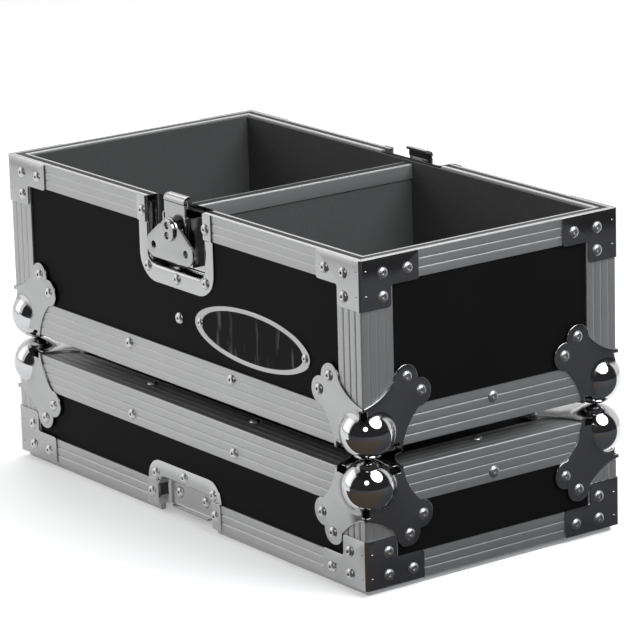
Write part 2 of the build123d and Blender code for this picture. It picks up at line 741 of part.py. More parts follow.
ear_x = bail_half + bail_side_gap
with BuildPart() as bail_ears:
    for sign in (-1, 1):
        with BuildSketch(Plane.YZ.offset(sign * ear_x)):
            slab(bail_axis_back, tray_floor_z + (bail_rise + ear_r) / 2, 2 * ear_r, bail_rise + ear_r)
            chamfer(vertices().group_by(Axis.Y)[-1], ear_chamfer)
            with Locations((bail_axis_back, bail_z)):
                Circle(pin_r + pin_clearance, mode=Mode.SUBTRACT)
        extrude(amount=sign * ear_t)
bail_ears.part.label = "bail_ears"
export_step(bail_ears.part, "parts/bail_ears.step")
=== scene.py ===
from math import acos, asin, atan2, cos, degrees, pi, radians, sin, sqrt

import bmesh
import bpy
from mathutils import Matrix, Vector


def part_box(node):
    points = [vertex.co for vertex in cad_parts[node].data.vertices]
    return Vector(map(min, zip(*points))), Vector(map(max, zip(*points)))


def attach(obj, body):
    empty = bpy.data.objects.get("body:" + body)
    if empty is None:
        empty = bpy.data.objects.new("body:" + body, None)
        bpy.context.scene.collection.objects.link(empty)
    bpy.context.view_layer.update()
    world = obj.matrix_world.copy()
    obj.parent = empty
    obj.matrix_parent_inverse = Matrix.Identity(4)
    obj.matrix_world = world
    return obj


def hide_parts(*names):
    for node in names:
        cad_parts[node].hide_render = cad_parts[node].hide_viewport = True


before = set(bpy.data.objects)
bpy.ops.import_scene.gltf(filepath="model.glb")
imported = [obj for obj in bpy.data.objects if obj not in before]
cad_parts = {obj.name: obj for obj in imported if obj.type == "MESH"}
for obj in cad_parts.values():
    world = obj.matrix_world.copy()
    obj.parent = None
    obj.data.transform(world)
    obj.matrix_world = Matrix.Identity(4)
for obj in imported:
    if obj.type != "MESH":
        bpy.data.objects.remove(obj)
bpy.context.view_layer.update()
mm = 0.001
close = 1e-7  # what lies nearer than this is in one place

# Where the boxes stand, read from the frame
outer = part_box("case_upright_angles")[1]
outerX, outerY = outer.x, outer.y
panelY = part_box("case_back_panel")[1].y
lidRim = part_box("lid_corner_braces")[0].z
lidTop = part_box("lid_top_angles")[1].z
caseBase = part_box("case_base_angles")[0].z
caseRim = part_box("case_corner_braces")[1].z

# Each box from its closed end to its rim: the case opens upwards and the lid downwards
boxes = {
    "case": {"closed": caseBase, "rim": caseRim, "up": 1, "end": "Base"},
    "lid": {"closed": lidTop, "rim": lidRim, "up": -1, "end": "Top"},
}

alongX, alongY, alongZ = Vector((1, 0, 0)), Vector((0, 1, 0)), Vector((0, 0, 1))
mirrorX = Matrix.Scale(-1, 4, alongX)
mirrorY = Matrix.Scale(-1, 4, alongY)
halfTurn = Matrix.Rotation(pi, 4, "Z")
unmoved = Matrix.Identity(4)
fourCorners = (unmoved, mirrorX, mirrorY, mirrorX @ mirrorY)
sides = {"front": unmoved, "back": halfTurn}


def flipAbout(height):
    # Mirrors about a level plane
    return Matrix.Translation((0, 0, 2 * height)) @ Matrix.Scale(-1, 4, alongZ)


def axes(origin, x, y, z):
    # A matrix that puts local X, Y and Z along the three directions given
    turned = Matrix((x, y, z)).transposed().to_4x4()
    return Matrix.Translation(origin) @ turned


def onFront(across, height, out=0.0, up=1):
    # Local X to the right, Y up (or down where up is -1) and Z out of the front panel
    return axes((across, -panelY - out, height), alongX, up * alongZ, -alongY)


def inCorners(height, flip=unmoved):
    # The four upright corners: local X and Y run inwards along the walls and Z upwards, before any flip
    corner = axes((outerX, -outerY, height), -alongX, alongY, alongZ)
    return [flip @ turn @ corner for turn in fourCorners]


def facing(spot, normal):
    # Local Z along the normal
    return Matrix.Translation(spot) @ alongZ.rotation_difference(normal).to_matrix().to_4x4()


def addObject(name, data):
    made = bpy.data.objects.new(name, data)
    bpy.context.scene.collection.objects.link(made)
    return made


# Camera
cameraView = {
    "place": (2.5039, -1.8124, 0.9933),
    "azimuth": 53.87,
    "elevation": 15.30,
    "roll": -1.53,
    "focalPixels": 3891.1,
    "imagePixels": 640,
    "sensor": 36.0,
    "clipEnd": 50.0,
}


def makeCamera(view):
    azimuth, elevation = radians(view["azimuth"]), radians(view["elevation"])
    back = Vector((sin(azimuth) * cos(elevation), -cos(azimuth) * cos(elevation), sin(elevation)))
    right = alongZ.cross(back).normalized()
    up = back.cross(right)
    roll = radians(view["roll"])
    turnedRight = right * cos(roll) + up * sin(roll)
    turnedUp = up * cos(roll) - right * sin(roll)
    data = bpy.data.cameras.new("camera")
    data.sensor_width = view["sensor"]
    data.lens = view["focalPixels"] / view["imagePixels"] * view["sensor"]
    data.clip_end = view["clipEnd"]
    camera = addObject("camera", data)
    camera.matrix_world = axes(Vector(view["place"]), turnedRight, turnedUp, back)
    bpy.context.scene.camera = camera


makeCamera(cameraView)
print("camera placed")


# Materials
class Wire:
    # A node socket that is added, taken away and multiplied like a number
    def __init__(self, graph, socket):
        self.graph = graph
        self.socket = socket

    def math(self, operation, *values):
        return self.graph.node("ShaderNodeMath", {"operation": operation}, *values)

    def __add__(self, other):
        return self.math("ADD", self, other)

    def __radd__(self, other):
        return self.math("ADD", self, other)

    def __mul__(self, other):
        return self.math("MULTIPLY", self, other)

    def __rmul__(self, other):
        return self.math("MULTIPLY", self, other)

    def __sub__(self, other):
        return self.math("SUBTRACT", self, other)

    def __rsub__(self, other):
        return self.math("SUBTRACT", other, self)


class Graph:
    # A node tree, and a way to add nodes to it
    def __init__(self, tree):
        self.tree = tree

    def plug(self, socket, value):
        if isinstance(value, Wire):
            self.tree.links.new(value.socket, socket)
        else:
            socket.default_value = value

    def node(self, kind, settings=None, *values, out=0, **named):
        # Settings come first, then the sockets' values, in their order or by name
        made = self.tree.nodes.new(kind)
        for key, value in (settings or {}).items():
            if key == "stops":
                for stop, (position, shade) in zip(made.color_ramp.elements, value):
                    stop.position = position
                    stop.color = (shade, shade, shade, 1)
            else:
                setattr(made, key, value)
        for socket, value in zip(made.inputs, values):
            self.plug(socket, value)
        for key, value in named.items():
            self.plug(made.inputs[key], value)
        return Wire(self, made.outputs[out])


class Finish(Graph):
    # One material and its shader
    def __init__(self, name, color, metallic, roughness, **fixed):
        self.material = bpy.data.materials.new(name)
        self.material.use_nodes = True
        super().__init__(self.material.node_tree)
        self.shader = self.tree.nodes["Principled BSDF"]
        self.material.diffuse_color = (*color, 1)
        self.feed(**{"Base Color": (*color, 1), "Metallic": metallic, "Roughness": roughness})
        self.feed(**fixed)
        self.place = self.node("ShaderNodeTexCoord", out="Object")

    def feed(self, **named):
        for key, value in named.items():
            self.plug(self.shader.inputs[key], value)

    def mapped(self, scale, rotation=(0, 0, 0)):
        return self.node("ShaderNodeMapping", None, Vector=self.place, Rotation=rotation, Scale=scale)

    def noise(self, scale, vector=None, detail=3.0, rough=0.55):
        return self.node("ShaderNodeTexNoise", None, Vector=vector or self.place, Scale=scale,
                         Detail=detail, Roughness=rough)

    def blend(self, amount, first, second):
        # Mixes two colours: a Mix node's colours are its inputs 6 and 7, and its output 2
        colors = [color if isinstance(color, Wire) else (*color, 1) for color in (first, second)]
        mixed = self.node("ShaderNodeMix", {"data_type": "RGBA"}, amount, out=2)
        for socket, color in zip(mixed.socket.node.inputs[6:8], colors):
            self.plug(socket, color)
        return mixed

    def bump(self, height, strength, distance):
        return self.node("ShaderNodeBump", None, Height=height, Strength=strength, Distance=distance)


def shaded(color, share):
    # The colour made darker or lighter, up to white
    return tuple(min(1.0, part * share) for part in color)


aluminium = {
    "color": (0.43, 0.43, 0.43),
    "metallic": 0.85,
    "roughness": 0.40,
    "patchScale": 14.0,
    "patchSwing": 0.1,  # how far the roughness of the patches varies
    "lineAcross": 900.0,
    "lineAlong": 6.0,
    "lineShade": 0.86,
    "lineRough": 0.08,
    "relief": 0.12,
    "reliefDeep": 0.0002,
}


def brushed(name, along, work):
    # Extruded aluminium, drawn along one axis, with faint draw lines and duller patches
    color, swing = work["color"], work["patchSwing"]
    finish = Finish(name, color, work["metallic"], work["roughness"])
    scale = [work["lineAcross"]] * 3
    scale[along] = work["lineAlong"]
    lines = finish.noise(1.0, finish.mapped(scale), detail=2.0)
    patches = finish.noise(work["patchScale"], detail=4.0)
    finish.feed(**{
        "Base Color": finish.blend(lines, shaded(color, work["lineShade"]), color),
        "Roughness": work["roughness"] - swing / 2 + patches * swing + lines * work["lineRough"],
        "Normal": finish.bump(lines, work["relief"], work["reliefDeep"]),
    })
    return finish.material


steel = {
    "smearScale": 38.0,
    "smearShade": 0.93,
    "markScale": (260.0, 260.0, 40.0),
    "relief": 0.03,
    "reliefDeep": 0.0003,
}


def pressed(name, color, roughness, smear=0.06):
    # Nickel plated pressed steel: smooth, with faint smears and rolling marks
    finish = Finish(name, color, 1.0, roughness)
    smears = finish.noise(steel["smearScale"], detail=5.0)
    marks = finish.noise(1.0, finish.mapped(steel["markScale"]), detail=3.0)
    finish.feed(**{
        "Base Color": finish.blend(smears, shaded(color, steel["smearShade"]), color),
        "Roughness": roughness + smears * smear - smear / 2,
        "Normal": finish.bump(marks, steel["relief"], steel["reliefDeep"]),
    })
    return finish.material


blackLaminate = {
    "color": (0.005, 0.005, 0.0047),
    "darkCloud": (0.004, 0.004, 0.0037),
    "lightCloud": (0.006, 0.006, 0.0056),
    "cloudScale": 9.0,
    "roughness": 0.52,
    "cloudRough": 0.12,
    "specular": 0.05,
    "grainScale": 900.0,
    "relief": 0.25,
    "reliefDeep": 0.0002,
}


def laminate(work):
    # Black laminate with a fine pebbled grain
    specular = {"Specular IOR Level": work["specular"]}
    finish = Finish("laminate", work["color"], 0.0, work["roughness"], **specular)
    grain = finish.node("ShaderNodeTexVoronoi", {"feature": "SMOOTH_F1"}, Vector=finish.place,
                        Scale=work["grainScale"])
    clouds = finish.noise(work["cloudScale"], detail=4.0)
    finish.feed(**{
        "Base Color": finish.blend(clouds, work["darkCloud"], work["lightCloud"]),
        "Roughness": clouds * work["cloudRough"] + work["roughness"],
        "Normal": finish.bump(grain, work["relief"], work["reliefDeep"]),
    })
    return finish.material


softFoam = {
    "roughness": 0.95,
    "specular": 0.2,
    "cellScale": 620.0,
    "cellShare": 0.6,
    "cloudScale": 12.0,
    "darkest": 0.62,
    "lightest": 1.35,
    "relief": 0.7,
    "reliefDeep": 0.0006,
}


def foam(name, color):
    # Grey foam with an open, slightly uneven skin
    finish = Finish(name, color, 0.0, softFoam["roughness"], **{"Specular IOR Level": softFoam["specular"]})
    cells = finish.noise(softFoam["cellScale"], detail=4.0, rough=0.7)
    clouds = finish.noise(softFoam["cloudScale"], detail=4.0)
    share = softFoam["cellShare"]
    dark, light = shaded(color, softFoam["darkest"]), shaded(color, softFoam["lightest"])
    finish.feed(**{
        "Base Color": finish.blend(cells * share + clouds * (1 - share), dark, light),
        "Normal": finish.bump(cells, softFoam["relief"], softFoam["reliefDeep"]),
    })
    return finish.material


gripRubber = {
    "color": (0.014, 0.014, 0.014),
    "skinScale": 500.0,
    "roughness": 0.45,
    "skinRough": 0.2,
    "relief": 0.25,
    "reliefDeep": 0.0003,
}


def rubber(work):
    finish = Finish("rubber", work["color"], 0.0, work["roughness"])
    skin = finish.noise(work["skinScale"], detail=3.0)
    finish.feed(**{
        "Roughness": skin * work["skinRough"] + work["roughness"],
        "Normal": finish.bump(skin, work["relief"], work["reliefDeep"]),
    })
    return finish.material


printedField = {
    "color": (0.012, 0.012, 0.012),
    "ground": (0.006, 0.006, 0.0055),
    "streak": (0.085, 0.085, 0.083),
    "specular": 0.03,
    "lean": -16,
    "streakScale": (120.0, 1.0, 20.0),
    "streakStops": ((0.58, 0.0), (0.70, 1.0)),
    "roughness": 0.2,
    "streakRough": 0.1,
}


def badgeField(work):
    # Black printed field with faint grey streaks leaning across it
    specular = {"Specular IOR Level": work["specular"]}
    finish = Finish("badgeField", work["color"], 0.0, work["roughness"], **specular)
    leaning = finish.mapped(work["streakScale"], (0, radians(work["lean"]), 0))
    streaks = finish.noise(1.0, leaning, detail=2.0)
    sharp = finish.node("ShaderNodeValToRGB", {"stops": work["streakStops"]}, Fac=streaks)
    finish.feed(**{
        "Base Color": finish.blend(sharp, work["ground"], work["streak"]),
        "Roughness": work["roughness"] + streaks * work["streakRough"],
    })
    return finish.material


steelColor = (0.38, 0.38, 0.38)
drawnX = brushed("aluminiumAlongX", 0, aluminium)
drawnY = brushed("aluminiumAlongY", 1, aluminium)
drawnZ = brushed("aluminiumAlongZ", 2, aluminium)
plate = pressed("platedSteel", steelColor, 0.18)
dishMetal = pressed("dishSteel", (0.44, 0.44, 0.44), 0.11)
chrome = pressed("chrome", (0.56, 0.56, 0.565), 0.04, smear=0.03)
rivetMetal = pressed("rivetMetal", (0.56, 0.56, 0.56), 0.36)
# Near-black finish for the hook's crease slot: painted shade standing for the darkness of the deep gap
paintedCreaseShade = pressed("paintedCreaseShade", (0.03, 0.03, 0.03), 0.5)
black = laminate(blackLaminate)
grey = foam("lining", (0.085, 0.085, 0.085))
print("materials made")


# Shared making
def asMesh(bm, name):
    # Hands the shape over to a mesh
    mesh = bpy.data.meshes.new(name)
    bm.to_mesh(mesh)
    bm.free()
    return mesh


def vertsOf(items):
    return [item for item in items if isinstance(item, bmesh.types.BMVert)]


def edgesOf(items):
    return [item for item in items if isinstance(item, bmesh.types.BMEdge)]


def everything(bm):
    return bm.verts[:] + bm.edges[:] + bm.faces[:]


def edgesAt(bm, axis, level):
    # Edges that lie in a plane across one axis
    return [edge for edge in bm.edges if all(abs(v.co[axis] - level) < close for v in edge.verts)]


def openEdges(bm):
    return [edge for edge in bm.edges if edge.is_boundary]


def move(bm, matrix, verts=None):
    bmesh.ops.transform(bm, matrix=matrix, verts=verts or bm.verts)


def shift(bm, vec, verts=None):
    bmesh.ops.translate(bm, vec=vec, verts=verts or bm.verts)


def repeat(bm, places):
    # Leaves a copy of what is in the mesh at each place
    first = everything(bm)
    for place in places[1:]:
        move(bm, place, vertsOf(bmesh.ops.duplicate(bm, geom=first)["geom"]))
    move(bm, places[0], vertsOf(first))


def outline(bm, points, height=0.0):
    return bm.faces.new([bm.verts.new((x, y, height)) for x, y in points])


def pull(bm, faces, length):
    # Pulls flat faces along local Z into a solid and returns the vertices that moved
    lifted = vertsOf(bmesh.ops.extrude_face_region(bm, geom=faces)["geom"])
    shift(bm, (0, 0, length), lifted)
    return lifted


def bar(bm, points, length):
    # A solid along local Z with the section given
    pull(bm, [outline(bm, points)], length)


def row(bm, points, closed=True):
    # Vertices joined by edges, the last to the first too where the row is closed
    verts = [bm.verts.new(point) for point in points]
    edges = [bm.edges.new((verts[i - 1], verts[i])) for i in range(0 if closed else 1, len(verts))]
    return verts, edges


def spun(bm, section, steps, closed=True):
    # Turns a section, each point a distance out and a height, right round local Z
    verts, edges = row(bm, [(out, 0, height) for out, height in section], closed)
    bmesh.ops.spin(bm, geom=verts + edges, axis=(0, 0, 1), cent=(0, 0, 0), angle=2 * pi, steps=steps,
                   use_merge=True)
    bmesh.ops.remove_doubles(bm, verts=bm.verts, dist=close)


def roundEdges(bm, edges, size, segments=2):
    bmesh.ops.bevel(bm, geom=edges, offset=size, segments=segments, affect="EDGES", profile=0.5, material=-1,
                    clamp_overlap=True)


def arc(center, radius, start, end, steps):
    # Points round a centre, from one angle to the other in degrees
    found = []
    for i in range(steps + 1):
        angle = radians(start + (end - start) * i / steps)
        found.append((center[0] + radius * cos(angle), center[1] + radius * sin(angle)))
    return found


def arcThrough(first, middle, last, steps):
    # Points on the arc through three points
    ax, ay = first
    bx, by = middle
    cx, cy = last
    d = 2 * (ax * (by - cy) + bx * (cy - ay) + cx * (ay - by))
    a2, b2, c2 = ax * ax + ay * ay, bx * bx + by * by, cx * cx + cy * cy
    ux = (a2 * (by - cy) + b2 * (cy - ay) + c2 * (ay - by)) / d
    uy = (a2 * (cx - bx) + b2 * (ax - cx) + c2 * (bx - ax)) / d
    radius = sqrt((ax - ux) ** 2 + (ay - uy) ** 2)
    start = atan2(ay - uy, ax - ux)
    end = atan2(cy - uy, cx - ux)
    if abs(end - start) > pi:
        end += 2 * pi if end < start else -2 * pi
    return arc((ux, uy), radius, degrees(start), degrees(end), steps)


def holedPlate(points, holes, thick, edge, holeSteps=28):
    # A flat plate with round holes, its outer edges eased
    bm = bmesh.new()
    row(bm, [(x, y, 0) for x, y in points])
    for (x, y), radius in holes:
        bmesh.ops.create_circle(bm, cap_ends=False, segments=holeSteps, radius=radius,
                                matrix=Matrix.Translation((x, y, 0)))
    bmesh.ops.triangle_fill(bm, use_beauty=True, use_dissolve=False, edges=bm.edges[:])
    top = set(pull(bm, bm.faces[:], thick))
    bmesh.ops.recalc_face_normals(bm, faces=bm.faces)
    rim = [e for e in bm.edges if set(e.verts) <= top and e.calc_face_angle(0) > 1]
    roundEdges(bm, rim, edge)
    return bm


def drawOut(bm, edges, vec):
    # Draws a row of edges out by one step and returns the new vertices and edges
    grown = bmesh.ops.extrude_edge_only(bm, edges=edges)["geom"]
    moved = vertsOf(grown)
    shift(bm, vec, moved)
    return moved, edgesOf(grown)


def swept(bm, edges, steps, narrow=()):
    # Draws a row of edges out along a list of steps, each a (y, z) move, narrowing it where asked
    for i, (dy, dz) in enumerate(steps):
        moved, edges = drawOut(bm, edges, (0, dy, dz))
        if i < len(narrow):
            bmesh.ops.scale(bm, vec=(narrow[i], 1, 1), verts=moved)


def bendSteps(radius, count):
    # Steps round a quarter bend from along Y to against Z, each a (y, z) move
    points = arc((0, 0), radius, 0, 90, count)
    return [(b[1] - a[1], b[0] - a[0]) for a, b in zip(points, points[1:])]


def cutAcross(bm, point, normal, **settings):
    # Adds the edges where a plane crosses the mesh
    bmesh.ops.bisect_plane(bm, geom=everything(bm), plane_co=point, plane_no=normal, dist=close, **settings)


def cutThrough(bm, point, normal):
    # Takes away what lies past a plane and closes the cut
    cutAcross(bm, point, normal, clear_outer=True)
    bmesh.ops.holes_fill(bm, edges=openEdges(bm), sides=0)


def thicken(bm, thick):
    # Turns the faces of an open sheet towards local Z and gives it a wall
    bmesh.ops.recalc_face_normals(bm, faces=bm.faces)
    if sum(face.normal.z for face in bm.faces) < 0:
        bmesh.ops.reverse_faces(bm, faces=bm.faces)
    bmesh.ops.solidify(bm, geom=bm.faces[:], thickness=thick)


def piece(bm, name, body, material, node=None, sharp=35):
    # Turns the mesh into a finished piece that rides on its body
    bmesh.ops.remove_doubles(bm, verts=bm.verts, dist=close)
    bmesh.ops.recalc_face_normals(bm, faces=bm.faces)
    mesh = asMesh(bm, name)
    mesh.polygons.foreach_set("use_smooth", [True] * len(mesh.polygons))
    mesh.set_sharp_from_angle(angle=radians(sharp))
    mesh.materials.append(material)
    made = addObject(name, mesh)
    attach(made, body)
    if node:
        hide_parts(node)
    return made


def dress(material, *names):
    # Gives frame nodes a finish
    for name in names:
        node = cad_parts[name]
        if not node.material_slots:
            node.data.materials.append(material)
        for held in node.material_slots:
            held.material = material


# Extrusions
extrusion = {
    "leg": 30 * mm,
    "wall": 1.5 * mm,
    "groovePitch": 7 * mm,
    "grooveWide": 1.3 * mm,
    "grooveDeep": 0.42 * mm,
    "grooveFloor": 0.45,  # share of the groove's width that is its floor
    "grooveEase": 0.35,  # share of the depth that is lost at the floor's edges
    "bandSteps": 6,
    "crown": 0.10 * mm,
    "corner": 1.4 * mm,
    "insideCorner": 2.1 * mm,
    "lip": 0.7 * mm,
    "rimFace": 21.5 * mm,
    "rimWide": 12 * mm,
    "innerLeg": 12 * mm,
    "tongueDrop": 5.5 * mm,
    "tongueWide": 4.8 * mm,
    "tongueIn": 4 * mm,
    "play": 0.4 * mm,
    "endPlay": 0.3 * mm,
    "latchGap": 40.5 * mm,
    "cornerGap": 35.5 * mm,
}


def groovedLine(length, work):
    # Distance along a face and depth below it, with rounded grooves between slightly crowned bands
    count = int(length / work["groovePitch"] - 0.5)
    band = length / (count + 1)
    half, steps = work["grooveWide"] / 2, work["bandSteps"]
    found = []
    for i in range(count + 1):
        start = band * i + (half if i else 0)
        end = band * (i + 1) - (half if i < count else 0)
        for j in range(steps + 1):
            share = j / steps
            found.append((start + (end - start) * share, work["crown"] * (2 * share - 1) ** 2))
        if i < count:
            for offset in (-1, 0, 1):
                deep = work["grooveDeep"] * (1 - work["grooveEase"] * abs(offset))
                found.append((band * (i + 1) + half * work["grooveFloor"] * offset, deep))
    return found


def angleSection(work):
    # Both legs of a ribbed angle, its outer corner at the origin
    leg, wall, corner, inside = work["leg"], work["wall"], work["corner"], work["insideCorner"]
    line = [spot for spot in groovedLine(leg, work) if spot[0] > corner]
    post = [(depth, a) for a, depth in line]
    bend = arc((corner, corner), corner, 270, 180, 5)
    return line[::-1] + bend + post + [(wall, leg), (inside, inside), (leg, wall)]


def rimSection(work, tongue):
    # Section of a rim: distance in from its outer face, and distance from the rim to the panel
    wall, wide, leg, lip, face = work["wall"], work["rimWide"], work["innerLeg"], work["lip"], work["rimFace"]
    near, far, drop = work["tongueIn"], work["tongueIn"] + work["tongueWide"], work["tongueDrop"]
    if tongue:
        web = wall
        key = [(near, 0), (near, lip - drop), (near + lip, -drop)]
        key += [(far - lip, -drop), (far, lip - drop), (far, 0)]
    else:
        web = drop + work["endPlay"] + wall
        near, far = near - work["play"], far + work["play"]
        key = [(near, 0), (near, web - wall), (far, web - wall), (far, 0)]
    line = [(depth, a) for a, depth in reversed(groovedLine(face, work)) if a > lip]
    top = arc((lip, lip), lip, 180, 270, 3) + key + arc((wide - lip, lip), lip, 270, 360, 3)
    inside = [(wide, leg), (wide - wall, leg), (wide - wall, web), (wall, web), (wall, face)]
    return line + top + inside


def uprightAngles(box):
    # Cut short at the ball corners and at the rim
    end, rim, up = boxes[box]["closed"], boxes[box]["rim"], boxes[box]["up"]
    low, high = sorted((end + up * extrusion["cornerGap"], rim - up * extrusion["rimFace"]))
    bm = bmesh.new()
    bar(bm, angleSection(extrusion), high - low)
    repeat(bm, inCorners(low))
    piece(bm, f"{box}Uprights", box, drawnZ, f"{box}_upright_angles")


def edgeAngles(box):
    # Two along the length, and two across in a piece of their own so that their draw lines follow them
    level, end = boxes[box]["closed"], boxes[box]["end"]
    rise = boxes[box]["up"] * alongZ
    short, long = outerY - extrusion["cornerGap"], outerX - extrusion["cornerGap"]
    runs = (
        ("Long", drawnX, long, axes((-long, -outerY, level), alongY, rise, alongX), mirrorY),
        ("Short", drawnY, short, axes((outerX, -short, level), -alongX, rise, alongY), mirrorX),
    )
    for run, material, reach, place, flip in runs:
        bm = bmesh.new()
        bar(bm, angleSection(extrusion), 2 * reach)
        repeat(bm, [place, flip @ place])
        piece(bm, f"{box}{end}Angles{run}", box, material, f"{box}_{end.lower()}_angles")


def rims(box):
    # The long rims are cut through for the latches, and all meet in mitres; the lid's have the tongue
    level, fall = boxes[box]["rim"], -boxes[box]["up"] * alongZ
    section = rimSection(extrusion, tongue=box == "lid")
    gap = extrusion["latchGap"]
    for side, turn in sides.items():
        bm = bmesh.new()
        bar(bm, section, outerX - gap)
        move(bm, axes((gap, -outerY, level), alongY, fall, alongX))
        cutThrough(bm, (outerX, -outerY, 0), (1, 1, 0))
        repeat(bm, [turn, turn @ mirrorX])
        piece(bm, f"{box}Rim{side.title()}", box, drawnX, f"{box}_{side}_rim")
    for side, turn in (("right", unmoved), ("left", halfTurn)):
        bm = bmesh.new()
        bar(bm, section, 2 * outerY)
        move(bm, axes((outerX, -outerY, level), -alongX, fall, alongY))
        cutThrough(bm, (outerX, -outerY, 0), (-1, -1, 0))
        cutThrough(bm, (outerX, outerY, 0), (-1, 1, 0))
        move(bm, turn)
        piece(bm, f"{box}Rim{side.title()}", box, drawnY, f"{box}_{side}_rim")


for make in (uprightAngles, edgeAngles, rims):
    for box in boxes:
        make(box)
print("extrusions made")


# Corner braces
brace = {
    "long": 55 * mm,
    "tall": 40 * mm,
    "bar": 23 * mm,
    "post": 28.5 * mm,
    "thick": 1.2 * mm,
    "bendInside": 1.0 * mm,
    "round": 3.0 * mm,
    "rimRound": 1.0 * mm,
    "insideRound": 2.0 * mm,
    "edge": 0.35 * mm,
    "dimples": (9 * mm, 28.5 * mm),
    "dimpleHalf": (4.9 * mm, 1.5 * mm, 1.8 * mm),
    "dimpleIn": 2.0 * mm,
}


def braceMesh(work):
    # Both legs and the bend between them, the corner of the box at the origin and the rim in XY
    start, r, small, inner = work["bendInside"], work["round"], work["rimRound"], work["insideRound"]
    long, tall, low, post = work["long"], work["tall"], work["bar"], work["post"]
    thick = work["thick"]
    points = [(start, 0)]
    points += arc((long - small, small), small, 270, 360, 3)
    points += arc((long - r, low - r), r, 0, 90, 5)
    points += arc((post + inner, low + inner), inner, 270, 180, 4)
    points += arc((post - r, tall - r), r, 0, 90, 5)
    points += [(start, tall)]
    bm = bmesh.new()
    bar(bm, points, thick)
    fold = edgesAt(bm, 0, start)
    roundEdges(bm, [edge for edge in edgesAt(bm, 2, thick) if edge not in fold], work["edge"])
    # Legs on the front and on the end
    repeat(bm, [axes((0, 0, 0), alongX, -alongZ, -alongY), axes((0, 0, 0), alongY, -alongZ, -alongX)])
    # Bend
    section = arc((start, start), start + thick, 270, 180, 6) + arc((start, start), start, 180, 270, 4)
    bar(bm, section, -tall)
    # Stamped stiffeners across the bend
    along, high, out = work["dimpleHalf"]
    inset = work["dimpleIn"]
    for drop in work["dimples"]:
        bead = bmesh.ops.create_uvsphere(bm, u_segments=20, v_segments=12, radius=1.0)["verts"]
        place = Matrix.Translation((inset, inset, -drop)) @ Matrix.Rotation(radians(-45), 4, "Z")
        move(bm, place @ Matrix.Diagonal((along, out, high, 1)), bead)
    return bm


def braces(box, flip):
    bm = braceMesh(brace)
    repeat(bm, inCorners(caseRim, flip))
    piece(bm, f"{box}Braces", box, plate, f"{box}_corner_braces")


braces("case", unmoved)
braces("lid", flipAbout((lidRim + caseRim) / 2))
print("corner braces made")


# Ball corners
ball = {
    "radius": 21.3 * mm,
    "sideInset": 12.3 * mm,
    "endInset": 12.95 * mm,
    "thick": 1.3 * mm,
    "fillet": 9.0 * mm,
    "filletSunk": 0.52 * mm,  # how far the fillet's base lies in the leg
    "filletIn": 0.5 * mm,  # how far its inner edge lies in the ball
    "slitHalf": 3.5 * mm,
    "slitEnd": 33.6 * mm,
    "archEdge": 36.4 * mm,
    "archNear": 17 * mm,
    "archFar": 43 * mm,
    "lobeNear": 40.3 * mm,
    "lobeFar": 52.8 * mm,
    "lobeRadius": 11.6 * mm,
    "hidden": 13 * mm,
    "edge": 0.6 * mm,
}


def fillRing(work, inset, center):
    # The concave ring between the ball and one leg, cut back at the slits
    radius, fillet, slit = work["radius"], work["fillet"], work["slitHalf"]
    deep = inset + work["thick"]
    reach = sqrt((radius + fillet) ** 2 - (deep + fillet) ** 2)
    lean = degrees(atan2(deep + fillet, reach))
    section = arc((reach, fillet), fillet, 270, 180 + lean, 10)
    section += [(section[-1][0] - work["filletIn"], -work["filletSunk"]), (reach, -work["filletSunk"])]
    bm = bmesh.new()
    spun(bm, [(out, -height) for out, height in section], steps=72)
    shift(bm, (*center, -work["thick"]))
    cutThrough(bm, (slit, 0, 0), (-1, 0, 0))
    cutThrough(bm, (0, slit, 0), (0, -1, 0))
    return bm


def legMesh(work):
    # A leg with two lobes, arched between them, its corner cut away under the ball
    thick, slit = work["thick"], work["slitHalf"]
    near, far, r = work["lobeNear"], work["lobeFar"], work["lobeRadius"]
    tip = (near + far) / 2 + sqrt(r * r - (far - near) ** 2 / 2) / sqrt(2)
    notch = degrees(atan2(tip - far, tip - near))
    half = arcThrough((0, work["archEdge"]), (work["archNear"], work["archFar"]), (near - r, far), 12)
    half += arc((near, far), r, 180, notch, 14)[1:-1]
    other = [(b, a) for a, b in reversed(half)]
    hidden, end, edge = work["hidden"], work["slitEnd"], work["archEdge"]
    points = [(-thick, end), (-thick, edge)] + half + [(tip, tip)] + other
    points += [(edge, -thick), (end, -thick), (end, slit), (hidden, slit), (slit, hidden), (slit, end)]
    bm = bmesh.new()
    bar(bm, points, -thick)
    roundEdges(bm, edgesAt(bm, 2, -thick), work["edge"], 3)
    return bm


def pressedBall(work):
    # The part of the ball outside the box, as a shell, in the axes of one corner
    bm = bmesh.new()
    bmesh.ops.create_icosphere(bm, subdivisions=5, radius=work["radius"])
    shift(bm, (work["sideInset"], work["sideInset"], work["endInset"]))
    for normal in (alongX, alongY, alongZ):
        cutAcross(bm, (0, 0, 0), normal)
    inside = [face for face in bm.faces if min(face.calc_center_median()) > 0]
    bmesh.ops.delete(bm, geom=inside, context="FACES")
    bmesh.ops.recalc_face_normals(bm, faces=bm.faces)
    bmesh.ops.solidify(bm, geom=bm.faces[:], thickness=work["thick"])
    return bm


def addTo(bm, other):
    # Copies one mesh into another and frees it
    held = asMesh(other, "held")
    bm.from_mesh(held)
    bpy.data.meshes.remove(held)


